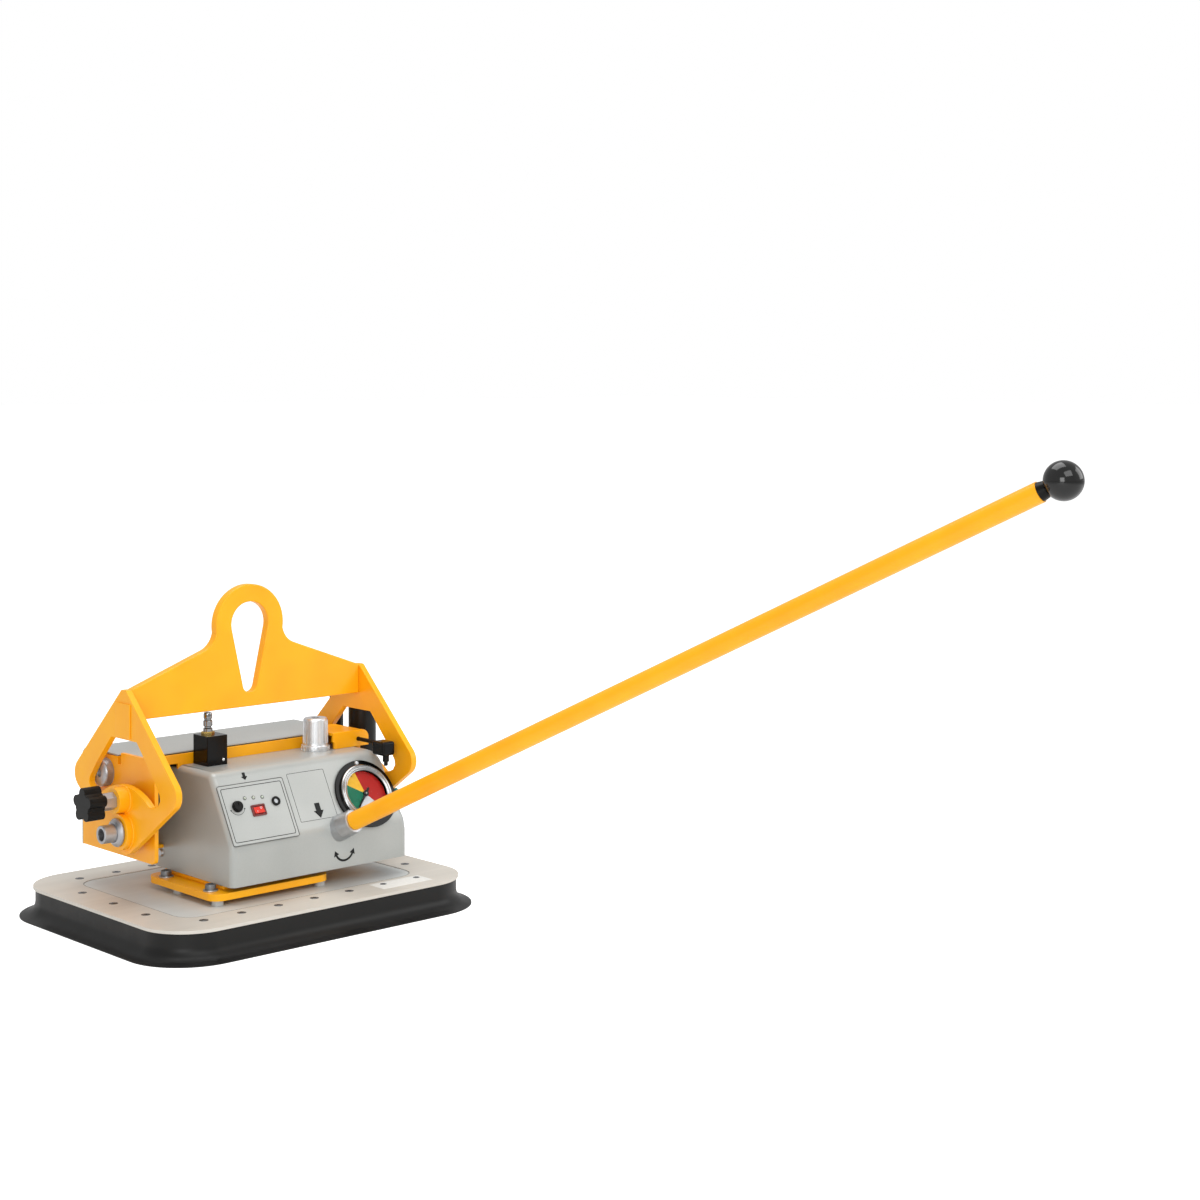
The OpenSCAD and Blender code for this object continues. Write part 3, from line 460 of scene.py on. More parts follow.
# %% [markdown]
# ## Plastics
# Knobs, blocks and rings are moulded nylon or ABS. A spark-eroded mould leaves a fine
# grain, and the light catches it as a soft satin sheen. The ball knob is phenolic resin,
# polished until it mirrors the lamps.

# %% Moulded plastics
def moulded_plastic(name, low, high, rough, grain_mm=1.0, depth=0.05, shine=0.5):
    material, tree, shader, place = new_material(name)
    shader.inputs["Specular IOR Level"].default_value = shine
    cloud = grain(tree, place, 10, 3)
    tree.links.new(ramp(tree, cloud, linear(low), linear(high), 0.3, 0.7),
                   shader.inputs["Base Color"])
    tree.links.new(spread(tree, cloud, *rough), shader.inputs["Roughness"])
    relief(tree, shader, grain(tree, place, grain_mm, 2), depth, 0.5)
    return material


# %% [markdown]
# ## Glass and printed ink
# The gauge's glass is a flat clear pane, with hand smudges that only change its sheen.
# It is thin, so it hardly bends light. Ink and enamel are films with a little tooth: an
# even colour with a satin skin.

# %% Clear glass and printed ink
def clear_glass():
    material, tree, shader, place = new_material("clear_glass")
    smudge = grain(tree, place, 15, 3)
    shader.inputs["Base Color"].default_value = linear("#FFFFFF")
    tree.links.new(spread(tree, smudge, 0.0, 0.05), shader.inputs["Roughness"])
    shader.inputs["Transmission Weight"].default_value = 1.0
    shader.inputs["IOR"].default_value = 1.02
    return material


def printed_ink(name, low, high):
    """Screen-printed ink or enamel: a thin film with a little tooth, satin."""
    material, tree, shader, place = new_material(name)
    shader.inputs["Specular IOR Level"].default_value = 0.2
    film = grain(tree, place, 4, 3)
    tree.links.new(ramp(tree, film, linear(low), linear(high), 0.3, 0.7),
                   shader.inputs["Base Color"])
    tree.links.new(spread(tree, film, 0.38, 0.5), shader.inputs["Roughness"])
    return material


# %% [markdown]
# ## The machine's finishes
# Each finish gets two close colours, which its pattern drifts between, and a range of
# roughness. Small differences matter: the handle's collar is satin aluminium, the
# silencer a brighter satin zinc, the bezel satin chrome, and the air plug a darker
# nickel plate that mirrors the room.

# %% Mix the finishes
from_cad = len(bpy.data.materials)
YELLOW = yellow_powder_coat()
SILVER = silver_powder_coat()
BRUSHED = brushed_aluminium("brushed_aluminium")
FIELD = brushed_aluminium("base_plate_aluminium", "#CBCFCE", "#D6DAD9")
MILLED = brushed_aluminium("milled_aluminium", "#A9A9A6", "#C4C4C1", (0.3, 0.42))
TURNED = turned_metal("turned_steel", "#A4A4A6", "#B8B8BA", (0.34, 0.46))
ZINC = turned_metal("zinc_plated_steel", "#A3A5A8", "#C4C6C8", (0.24, 0.4), 1.5)
BRONZE = turned_metal("sintered_bronze", "#9A7138", "#B58A4B", (0.35, 0.5))
DARK_ZINC = turned_metal("dark_zinc_steel", "#66686A", "#7E8083", (0.26, 0.4), 1.5)
BRASS = turned_metal("machined_brass", "#B99A50", "#CFB269", (0.2, 0.3))
CHROME = polished_chrome("polished_chrome", "#DADCDD", "#ECEDED", (0.06, 0.16))
NICKEL = polished_chrome("nickel_plate", "#808182", "#969798", (0.06, 0.14))
SATIN = polished_chrome("satin_aluminium", "#B9BBBE", "#C6C8CB", (0.34, 0.42))
CAST_ZINC = polished_chrome("satin_cast_zinc", "#D6D8DA", "#E2E4E6", (0.36, 0.44))
BEZEL = polished_chrome("satin_chrome", "#9C9D9D", "#AEAFAF", (0.16, 0.26))
RUBBER = moulded_rubber("moulded_rubber", "#0A0A09", "#121211", (0.36, 0.48))
HOSE = moulded_rubber("black_hose_rubber", "#141414", "#222221", (0.35, 0.5))
BLACK_NYLON = moulded_plastic("black_nylon", "#070707", "#0E0E0D", (0.28, 0.4), shine=0.18)
GLOSS_BLACK = moulded_plastic("gloss_black_nylon", "#060606", "#0B0A0A", (0.12, 0.2), 3,
                              0.02, 0.18)
BLACK_PAINT = moulded_plastic("black_satin_paint", "#0C0C0C", "#141413", (0.3, 0.4), 3,
                              0.03, 0.25)
PHENOLIC = moulded_plastic("polished_phenolic", "#0B0B0B", "#141413", (0.06, 0.14), 6, 0.01)
RED_PLASTIC = moulded_plastic("red_switch_plastic", "#C92A1E", "#DA3B2C", (0.18, 0.28))
LED_PLASTIC = moulded_plastic("frosted_lamp_lens", "#B9C4B4", "#C8D0C4", (0.2, 0.3))
BOARD = moulded_plastic("green_board_lacquer", "#1C5A38", "#236B43", (0.25, 0.35))
WRAP = moulded_plastic("blue_battery_wrap", "#27427C", "#2F4E90", (0.25, 0.4))
GLASS = clear_glass()
# This dark ink is used for print, and also paints the shade in the clamp screws' recesses and
# countersinks.
INK_AND_SHADE = printed_ink("dark_ink_and_painted_shade", "#131414", "#1D1E1E")
GREY_INK = printed_ink("grey_printed_ink", "#5F605E", "#6C6D6B")
DIAL_WHITE = printed_ink("dial_enamel_white", "#BFC4C8", "#CBCFD2")
DIAL_RED = printed_ink("dial_enamel_red", "#A01713", "#AE1E19")
DIAL_YELLOW = printed_ink("dial_enamel_yellow", "#DDA92A", "#E6B436")
DIAL_GREEN = printed_ink("dial_enamel_green", "#0E5F45", "#176F52")
LABEL = printed_ink("pale_label_film", "#DEDEDA", "#E8E8E4")
DARK_RED = moulded_plastic("dark_red_switch_frame", "#5C1612", "#701C16", (0.25, 0.35))
TEAL = moulded_plastic("teal_release_ring", "#1E6E70", "#277C7C", (0.3, 0.4))
print("finishes mixed:", len(bpy.data.materials) - from_cad)

# %% [markdown]
# ## Each node gets its finish
# The record names every node's material slot, so one table hands each slot its finish.

# %% Hand out the finishes
FINISH = {
    "rubber": RUBBER, "bare_aluminium": BRUSHED, "zinc_steel": ZINC,
    "yellow_paint": YELLOW, "black_paint": BLACK_PAINT, "grey_paint": SILVER,
    "machined_aluminium": MILLED, "turned_steel": TURNED, "chrome": CHROME,
    "brass": BRASS, "bronze": BRONZE, "black_plastic": BLACK_NYLON,
    "silencer_plastic": CAST_ZINC, "gloss_black": PHENOLIC, "black_hose": HOSE,
    "board_green": BOARD, "battery_blue": WRAP, "dial_face": SILVER,
    "needle_black": BLACK_PAINT, "clear_glass": GLASS, "switch_red": RED_PLASTIC,
    "led_green": LED_PLASTIC,
}
SLOT_OF = {row["node"]: row["material_slot"] for row in frame["record"]["subparts"]}
BODY_OF = {node: body for body, nodes in frame["record"]["behaviour"]["bodies"].items()
           for node in nodes}
for node, thing in frame["nodes"].items():
    thing.data.materials.clear()
    thing.data.materials.append(FINISH[SLOT_OF[node]])
print("finishes:", len(set(FINISH.values())))


def mount(piece, body, finish=None, stands_for=()):
    """Gives a piece its finish, its body and the nodes it replaces."""
    if finish is not None:
        piece.data.materials.clear()
        piece.data.materials.append(finish)
    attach(piece, body)
    if stands_for:
        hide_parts(*stands_for)
    return piece


# %% [markdown]
# ## Camera
# The machine is seen from its front left, low, with a long lens, so the lines stay nearly
# parallel. The lens is shifted so that uprights stay upright.

# %% Camera
LENS_MM, SENSOR_MM, LENS_SHIFT = 65.88, 36, -0.16667
CAMERA_AT, CAMERA_TILT, CAMERA_TURN = (-1.48775, -2.2189, 0.6538), 89.095, -42.976
scene = bpy.context.scene
camera_data = bpy.data.cameras.new("camera")
camera_data.lens = LENS_MM
camera_data.sensor_width = SENSOR_MM
camera_data.shift_y = LENS_SHIFT
camera_data.clip_end = 200
camera = bpy.data.objects.new("camera", camera_data)
camera.location = CAMERA_AT
camera.rotation_euler = (math.radians(CAMERA_TILT), 0, math.radians(CAMERA_TURN))
bpy.context.collection.objects.link(camera)
scene.camera = camera
print("camera:", CAMERA_AT, "m, lens", LENS_MM, "mm")

# %% [markdown]
# ## Room
# The room gives even light. To the camera it is plain white, and in reflections it is
# brighter than as a light, so that metal shows a bright room without more light on it.

# %% World
ROOM_LIGHT, MIRROR_LIGHT, FLOOR_GLOW = 0.52, 0.7, 0.62
scene.view_settings.view_transform = "Standard"
world = bpy.data.worlds.new("studio")
scene.world = world
world.use_nodes = True
tree = world.node_tree
tree.nodes.clear()
rays = add_node(tree, "ShaderNodeLightPath")
room = add_node(tree, "ShaderNodeBackground",
                {"Color": linear("#FFFFFF"), "Strength": ROOM_LIGHT})
mirror = add_node(tree, "ShaderNodeBackground",
                  {"Color": linear("#F4F4F4"), "Strength": MIRROR_LIGHT})
white = add_node(tree, "ShaderNodeBackground", {"Color": (1, 1, 1, 1), "Strength": 1.0})
first = add_node(tree, "ShaderNodeMixShader", links={0: rays.outputs["Is Glossy Ray"],
                 1: room.outputs[0], 2: mirror.outputs[0]})
last = add_node(tree, "ShaderNodeMixShader", links={0: rays.outputs["Is Camera Ray"],
                1: first.outputs[0], 2: white.outputs[0]})
add_node(tree, "ShaderNodeOutputWorld", links={"Surface": last.outputs[0]})
print("world nodes:", len(tree.nodes))

# %% [markdown]
# ## Lamps
# Four large soft lamps stand in front, at both sides and above, as in a studio. Large
# ones give wide, soft reflections on the sheet metal and no hard shadows.

# %% Lamps
def soft_lamp(name, place, target, size, power):
    data = bpy.data.lights.new(name, "AREA")
    data.shape = "RECTANGLE"
    data.size, data.size_y = size
    data.energy = power
    lamp = bpy.data.objects.new(name, data)
    lamp.location = place
    aim = Vector(target) - Vector(place)
    lamp.rotation_euler = aim.to_track_quat("-Z", "Y").to_euler()
    bpy.context.collection.objects.link(lamp)


soft_lamp("key", (-0.6, -3.0, 2.6), (0, -0.1, 0.2), (2.2, 1.6), 33)
soft_lamp("fill", (2.6, -2.0, 1.6), (0, -0.1, 0.2), (1.8, 1.8), 26)
soft_lamp("side", (-2.5, -2.4, 1.0), (0, -0.1, 0.15), (1.3, 1.3), 27)
soft_lamp("top", (0.2, 0.2, 3.0), (0, -0.1, 0.1), (2.2, 2.2), 48)

# %% [markdown]
# ## Floor
# The pad stands on a pale, dull floor that lies a hair below it. To the camera the floor
# also glows, so it runs into the white behind it, and the shadow stays.

# %% Floor
FLOOR_WIDTH, FLOOR_DROP = 60, 0.4
clear_selection()
bpy.ops.mesh.primitive_plane_add(size=FLOOR_WIDTH, location=(0, 0, -FLOOR_DROP * MM))
floor = settle(bpy.context.object, "floor")
material, tree, shader, place = new_material("pale_floor")
shader.inputs["Base Color"].default_value = linear("#F7F7F7")
shader.inputs["Roughness"].default_value = 0.9
shader.inputs["Specular IOR Level"].default_value = 0.1
camera_ray = add_node(tree, "ShaderNodeLightPath")
glow = add_node(tree, "ShaderNodeEmission",
                {"Color": linear("#FFFFFF"), "Strength": FLOOR_GLOW})
none = add_node(tree, "ShaderNodeEmission", {"Color": linear("#000000"), "Strength": 0.0})
lift = add_node(tree, "ShaderNodeMixShader", links={0: camera_ray.outputs["Is Camera Ray"],
                1: none.outputs[0], 2: glow.outputs[0]})
both = add_node(tree, "ShaderNodeAddShader", links={0: shader.outputs[0],
                1: lift.outputs[0]})
output = next(item for item in tree.nodes if item.type == "OUTPUT_MATERIAL")
tree.links.new(both.outputs[0], output.inputs["Surface"])
floor.data.materials.append(material)
print("floor:", FLOOR_WIDTH, "m wide")

# %% [markdown]
# ## Soft edges on the metalwork
# Sawn, folded and turned parts never have knife edges: paint and deburring round them by
# a few tenths of a millimetre, and that thin line is what catches the light. Each solid
# is copied, its triangles are joined back into whole faces, and its sharp edges are
# rounded with a bevel that is cut inwards, so the part keeps its size.

# %% Copies with rounded edges
def rounded_copy(node, width, steps=2, finish=None, limit=30):
    only(frame["nodes"][node])
    bpy.ops.object.duplicate()
    piece = bpy.context.object
    piece.name = node + "_finished"
    whole_faces(piece)
    round_edges(piece, width, steps, limit)
    return mount(piece, BODY_OF[node], finish or FINISH[SLOT_OF[node]],
                 [node])


ROUNDED = {
    "rubber_seal": 0.7, "clamp_frame": 1.2, "base_plate": 0.5, "adapter_plate": 0.8,
    "pad_spacers": 0.4, "end_plate_left": 0.7, "end_plate_right": 0.7, "frame_rail": 0.5,
    "side_bracket": 0.7, "back_cover": 0.7, "chassis": 0.5,
    "arm_left": 1.3, "arm_right": 1.3, "lifting_beam": 1.6,
    "pivot_tubes": 0.9, "pivot_collars": 0.8, "plunger_body": 0.5, "star_knob": 2.4,
    "inlet_block": 2.2, "side_manifold": 1.5, "filter_canister": 1.6, "filter_hose": 1.2,
    "gauge_flange": 1.0, "handle_tube": 0.5, "set_knob": 0.5, "charge_jack": 0.5,
}
SPECIAL = {"base_plate": FIELD, "inlet_block": GLOSS_BLACK, "filter_canister": BLACK_PAINT,
           "gauge_flange": GLOSS_BLACK}
for node, width in ROUNDED.items():
    rounded_copy(node, width, finish=SPECIAL.get(node))
print("rounded:", len(ROUNDED))

# %% [markdown]
# ## The front cover
# On the real machine this is one sheet of 2 mm steel, folded over a former and welded at
# the corners, so every outside edge is a soft curve of about 8 mm. Two prisms, one with
# the cover's side and one with its front, are crossed to get the outside. The edges are
# rounded, the block is cut open behind and below, and Solidify gives the sheet its wall.

# %% Fold the front cover
SHEET_WALL, FOLD_RADIUS, COVER_FOOT, COVER_BACK = 2, 8, 56, 58
SLOPE_TOP = COVER_FRONT + (COVER_TOP - FOLD_HEIGHT) * math.tan(math.radians(PANEL_LEAN))
side = [(COVER_FRONT, 40), (COVER_FRONT, FOLD_HEIGHT), (SLOPE_TOP, COVER_TOP),
        (80, COVER_TOP), (80, 40)]
face = [(-92, 30), (161, 30), (161, 89), (153, 134)] + arc(18, 0, 90, 6, (135, 164)) \
    + [(-92, COVER_TOP)]
cover = sheet("front_cover_sheet", side, -100, 270, ACROSS)
cut(cover, sheet("cover_front_tool", face, -90, 210, FRONT @ turned((0, 0, COVER_FRONT))),
    "INTERSECT")
whole_faces(cover, 0.1)
round_edges(cover, FOLD_RADIUS, 6, 24, clamp=False)
only(cover)
bpy.ops.object.mode_set(mode="EDIT")
bpy.ops.mesh.select_all(action="SELECT")
bpy.ops.mesh.bisect(plane_co=(0, 0, COVER_FOOT * MM), plane_no=(0, 0, 1), clear_inner=True)
bpy.ops.mesh.select_all(action="SELECT")
bpy.ops.mesh.bisect(plane_co=(0, COVER_BACK * MM, 0), plane_no=(0, -1, 0),
                    clear_inner=True)
leave_edit()
wall = cover.modifiers.new("wall", "SOLIDIFY")
wall.thickness = SHEET_WALL * MM
wall.offset = -1
wall.use_even_offset = True
bpy.ops.object.modifier_apply(modifier=wall.name)
print("cover faces:", len(cover.data.polygons))

# %% [markdown]
# The openings are cut last, because the gauge, the controls, the handle and the two
# fittings on top each pass through the sheet. Only the left wall runs on to the back.

# %% Cut the cover's openings
KNOB_AT, ROCKER_AT, JACK_AT = (-70.3, 46.4), (-43.3, 38.4), (-16.9, 45.9)
GAUGE_AT, PLUG_AT, SILENCER_AT = (110, 37), (-57, -1), (90, -13)
HANDLE = turned((62, -103, 104), ("Z", 14.3), ("X", 64))
LAMP_AT = [(-57, 55.2), (-45.3, 54.4), (-33.3, 53.5)]


def on_panel(x, y, lift=0.0):
    """A place on the sloping panel: x along it, y up it, lift out of it."""
    return PANEL @ turned((x, y, lift))


cut(cover, block("open_back", (-90.02, 10, 30), (190, 90, 200)))
cut(cover, block("open_corner", (143, -34, 30), (190, 30, 200)))
cut(cover, drill("gauge_hole", 34.5, -8, 16, on_panel(*GAUGE_AT), 64))
cut(cover, drill("jack_hole", 4.05, -4, 8, on_panel(*JACK_AT)))
cut(cover, drill("knob_hole", 3.5, -4, 8, on_panel(*KNOB_AT)))
cut(cover, block("rocker_hole", (-7.2, -5, -4), (7.2, 5, 4), on_panel(*ROCKER_AT)))
cut(cover, drill("handle_hole", 12, -30, 50, HANDLE))
cut(cover, drill("inlet_hole", 6.05, 176, 10, turned((*PLUG_AT, 0))))
cut(cover, drill("silencer_hole", 8.05, 176, 10, turned((*SILENCER_AT, 0))))
for spot in LAMP_AT:
    cut(cover, drill("lamp_hole", 1.55, -4, 8, on_panel(*spot), 16))
shade(cover, 30)
mount(cover, "base", SILVER, ["front_cover"])
print("cover cut:", len(cover.data.polygons))

# %% [markdown]
# The handle turns on a short seat that is welded to the cover. Seat and collar are both
# turned to one taper, so only a hairline shows where the fixed part meets the moving one.

# %% Turn the handle's seat and collar
seat = turned_piece("collar_seat", [(12.05, -7), (15.3, -7), (15.3, 4.9), (12.05, 4.9),
                                    (12.05, -7)], HANDLE, 72)
shade(seat, 35)
mount(seat, "base", SATIN)
collar = turned_piece("handle_collar_turned", [
    (11.02, 5.05), (15.25, 5.05), (14.1, 21.9), (13.8, 22.7), (13.2, 23.1), (11.02, 23.1),
    (11.02, 5.05)], HANDLE, 72)
shade(collar, 35)
mount(collar, "handle", SATIN, ["handle_collar"])
print("collar faces:", len(collar.data.polygons))

# %% [markdown]
# ## Printed marks
# The border lines, arrows and scale are screen-printed ink. A thin sheet of ink with its
# own finish keeps crisp edges close up, where a pattern in the paint would blur.

# %% Print the panel and the front face
INK_FILM, PANEL_SHEET = 0.12, 0.8


def print_mark(name, points, place, base=0.0):
    return mount(sheet(name, points, base, INK_FILM, place), "base", INK_AND_SHADE)


def arrow(tip, length, half_shaft, half_head, head):
    """An arrow that points down to its tip."""
    x, y = tip
    return [(x, y), (x + half_head, y + head), (x + half_shaft, y + head),
            (x + half_shaft, y + length), (x - half_shaft, y + length),
            (x - half_shaft, y + head), (x - half_head, y + head)]


def print_frame(name, sides, radius, line, base=0.0, height=INK_FILM, ink=INK_AND_SHADE):
    return mount(line_frame(name, sides, radius, line, base, height, PANEL), "base",
                 ink)


print_frame("alarm_panel_edge", (-90, 2, 0, 74), 3, 0.5, 0.0, 0.85, GREY_INK)
print_frame("alarm_inner_line", (-86, -2, 4, 70), 2.5, 0.75, PANEL_SHEET)
print_frame("arrow_label_line", (9, 62, 15.5, 76.5), 1.5, 0.45)
print_mark("label_arrow", arrow((38.2, 17), 19, 3.6, 7, 9.5), PANEL)
print_mark("setting_arrow", arrow((-48.4, 77), 9.5, 2, 4.4, 4.6), PANEL)
SWING = (65.9, 77.5)
print_mark("knob_scale", band(9.6, 10.1, 205, 335, 18, KNOB_AT), PANEL, PANEL_SHEET)
for name, turn in (("scale_start", 200), ("scale_end", 340)):
    spot = arc(9.9, turn, turn, 1, KNOB_AT)[0]
    print_mark(name, arc(0.9, 0, 330, 11, spot), PANEL, PANEL_SHEET)
for number, spot in enumerate(LAMP_AT):
    print_mark("lamp_ring_%d" % number, band(1.7, 2.3, 0, 359.9, 20, spot), PANEL,
               PANEL_SHEET)
print_mark("swing_arc", band(11.6, 14.2, 208, 332, 24, SWING), FRONT)
for name, turn, lean in (("swing_head_left", 208, 112), ("swing_head_right", 332, 68)):
    x, z = arc(12.9, turn, turn, 1, SWING)[0]
    tip = arc(6.5, lean, lean, 1, (x, z))[0]
    left = arc(4, lean + 90, lean + 90, 1, (x, z))[0]
    right = arc(4, lean - 90, lean - 90, 1, (x, z))[0]
    print_mark(name, [tip, left, right], FRONT)
seam = line_frame("field_seam", (-164.9, 164.9, -120.9, 120.9), 25.9, 0.6, 35.95, 0.1,
                  turned((0, 0, 0)))
mount(seam, "base", GREY_INK)
label_strip = block("pad_label_film", (85, -158, 36), (158, -128, 36.12))
mount(label_strip, "base", LABEL)
print("lamp rings:", len(LAMP_AT))

# %% [markdown]
# ## Screws and bolts
# One screw is turned, cut and then copied to its places, each copy with its own mesh. The
# clamp screws sit in countersinks; the shade inside each countersink is painted as a dark
# ring, and the shade inside each cross recess is painted as a dark cross.

# %% Copies of a piece
def repeat(piece, spots):
    """Copies a piece from the first spot to the others, and joins them all."""
    made = []
    for x, y in spots[1:]:
        only(piece)
        bpy.ops.object.duplicate()
        copy = bpy.context.object
        bpy.ops.transform.translate(
            value=((x - spots[0][0]) * MM, (y - spots[0][1]) * MM, 0))
        bpy.ops.object.transform_apply(location=True, rotation=False, scale=False)
        made.append(copy)
    only(piece, *made)
    bpy.ops.object.join()
    return piece


# %% Clamp screws
SCREWS = [(i * 50, s * 136) for i in range(-3, 4) for s in (-1, 1)] \
    + [(s * 184, i * 70) for i in (-1, 0, 1) for s in (-1, 1)]
SPOT = turned((*SCREWS[0], 0))
screw = turned_piece("clamp_screw_heads", [(0.2, 36.5), (3.0, 36.48), (3.9, 36.3),
                                           (4.2, 36.0), (4.2, 35), (0.2, 35),
                                           (0.2, 36.5)], SPOT, 32)
cut(screw, block("recess_a", (-2.7, -0.65, 35.6), (2.7, 0.65, 37), SPOT))
cut(screw, block("recess_b", (-0.65, -2.7, 35.6), (0.65, 2.7, 37), SPOT))
shade(screw, 35)
mount(repeat(screw, SCREWS), "base", DARK_ZINC, ["clamp_screws"])
# Painted shade: a dark ink cross fills each screw's cross recess.
cross = [(2.6, 0.6), (0.6, 0.6), (0.6, 2.6), (-0.6, 2.6), (-0.6, 0.6), (-2.6, 0.6),
         (-2.6, -0.6), (-0.6, -0.6), (-0.6, -2.6), (0.6, -2.6), (0.6, -0.6), (2.6, -0.6)]
mount(repeat(sheet("screw_recess_painted_shade", cross, 35.5, 0.7, SPOT), SCREWS), "base", INK_AND_SHADE)
# Painted shade: a dark ink ring round each screw head stands for the shade in its countersink.
ring = turned_piece("countersink_painted_shade", [(4.25, 35.9), (5.2, 35.9), (5.2, 36.05),
                                           (4.25, 36.03), (4.25, 35.9)], SPOT, 32)
mount(repeat(ring, SCREWS), "base", INK_AND_SHADE)
print("clamp screws:", len(SCREWS))

# %% [markdown]
# Four socket-head bolts hold the unit on the pad. Each has a washer of brighter zinc and
# a plain shank that reaches through the plate.

# %% Adapter bolts
BOLTS = [(-101, -74), (41, -74), (-101, 21), (41, 21)]
SPOT = turned((*BOLTS[0], 0))
head = turned_piece("bolt_heads", [(0.2, 57.9), (5.2, 57.95), (6.0, 57.6), (6.4, 56.9),
                                   (6.4, 51.6), (0.2, 51.6), (0.2, 57.9)], SPOT, 40)
cut(head, drill("hex_socket", 3.3, 54.5, 5, SPOT, 6))
shade(head, 35)
mount(repeat(head, BOLTS), "base", DARK_ZINC, ["adapter_bolts"])
washer = turned_piece("bolt_washers", [(4.05, 50.05), (8.6, 50.05), (8.8, 50.3),
                                       (8.8, 51.2), (8.4, 51.55), (4.05, 51.55),
                                       (4.05, 50.05)], SPOT, 40)
shade(washer, 35)
mount(repeat(washer, BOLTS), "base", ZINC)
shank = drill("bolt_shanks", 3.95, 40, 11.8, SPOT, 32)
round_edges(shank, 0.6, 2)
mount(repeat(shank, BOLTS), "base", ZINC)
print("adapter bolts:", len(BOLTS))

# %% [markdown]
# The small valve beside the gauge is a moulded block with large radii. It hangs on its
# pipe, and a push-in fitting points down from it.

# %% Mould the small valve
valve = block("valve_block_body", (134, -92, 178), (152.5, -68, 195))
round_edges(valve, 3.2, 4, clamp=False)
mount(valve, "base", GLOSS_BLACK, ["valve_block"])
pipe = drill("valve_pipe", 2.5, 0, 45, turned((144, -24, 191), ("X", 90)), 32)
shade(pipe, 35)
mount(pipe, "base", BLACK_NYLON)
foot = turned_piece("valve_foot", [(0.2, 165), (2, 165), (2.5, 165.6), (2.5, 169.6),
                                   (3.6, 170), (4, 170.6), (4, 178.6), (0.2, 178.6),
                                   (0.2, 165)], turned((144, -84, 0)), 32)
shade(foot, 35)
mount(foot, "base", BLACK_NYLON)
print("valve faces:", len(valve.data.polygons))

# %% [markdown]
# A small bright screw sits in the front of the inlet block. Beside the cover, a push-in
# fitting lets its pipe go when its coloured ring is pressed.

# %% Small screw on the inlet block, and a push-in fitting beside the cover
small = turned_piece("block_screw", [(0.2, 0.9), (1.2, 0.85), (1.8, 0.4), (1.9, 0), (1.9, -1),
                                     (0.2, -1), (0.2, 0.9)],
                     turned((-49, -22, 188), ("X", 90)), 24)
shade(small, 40)
mount(small, "base", CHROME)
ring = turned_piece("push_in_ring", [(1.6, 152), (3, 152), (3, 156), (4.4, 156.4),
                                     (4.8, 157), (4.8, 159.6), (4.2, 160.4), (1.6, 160.6),
                                     (1.6, 152)], turned((0, -85, 131), ("Y", 90)), 32)
shade(ring, 35)
mount(ring, "base", TEAL)
print("release ring faces:", len(ring.data.polygons))

# %% [markdown]
# ## The vacuum gauge
# A pressed bezel in satin chrome holds a flat glass over an enamelled dial with three printed
# zones. The zones are wedges of enamel that meet under the needle's hub, so their edges
# stay sharp, and short black ticks run round them.

# %% Paint the dial
DIAL = on_panel(*GAUGE_AT)
face_plate = turned_piece("dial_plate", [(0.4, 1.5), (30.6, 1.5), (30.6, 1.62),
                                         (0.4, 1.62)], DIAL)
mount(face_plate, "base", DIAL_WHITE)
for name, start, end, enamel in (("red_zone", 102, -48, DIAL_RED),
                                 ("yellow_zone", 148, 102, DIAL_YELLOW),
                                 ("green_zone", 230, 148, DIAL_GREEN)):
    wedge = sheet(name, [(0, 0)] + arc(28.6, start, end, 24), 1.62, 0.1, DIAL)
    mount(wedge, "base", enamel)
bezel = turned_piece("stepped_bezel", [
    (32.8, 3.1), (36, 3.1), (36, 5.6), (35.8, 6.3), (35, 7.0), (34, 7.4), (33.2, 7.1),
    (32.7, 6.7), (32.1, 7.1), (31.3, 7.2), (30.6, 6.8), (29.4, 6.3), (28.6, 6.15),
    (28.6, 6.1), (32.8, 6.1), (32.8, 3.1)], DIAL, 96)
shade(bezel, 40)
mount(bezel, "base", BEZEL, ["gauge_bezel"])
inner_ring = turned_piece("dial_shadow_ring", [
    (29.2, 1.7), (30.6, 1.7), (30.6, 4.8), (29.2, 4.8), (29.2, 1.7)], DIAL, 72)
shade(inner_ring, 40)
mount(inner_ring, "base", BLACK_PAINT)
rim = sheet("dial_rim", band(28.6, 30.4, 0, 359.9, 60), 1.62, 0.14, DIAL)
mount(rim, "base", BLACK_PAINT)
TICKS, FIRST_TICK, TICK_STEP = 11, 225, 27
tick = [(25.6, -0.28), (28.2, -0.28), (28.2, 0.28), (25.6, 0.28)]
for step in range(TICKS):
    spot = DIAL @ turned((0, 0, 0), ("Z", FIRST_TICK - TICK_STEP * step))
    mount(sheet("dial_tick_%02d" % step, tick, 1.72, 0.06, spot), "base", BLACK_PAINT)
print("dial ticks:", TICKS)

# %% [markdown]
# ## Controls on the alarm panel
# The rocker is a lit red lens in a darker red frame, pressed in on one side. The charge
# socket has a pale insulator round a thin pin.

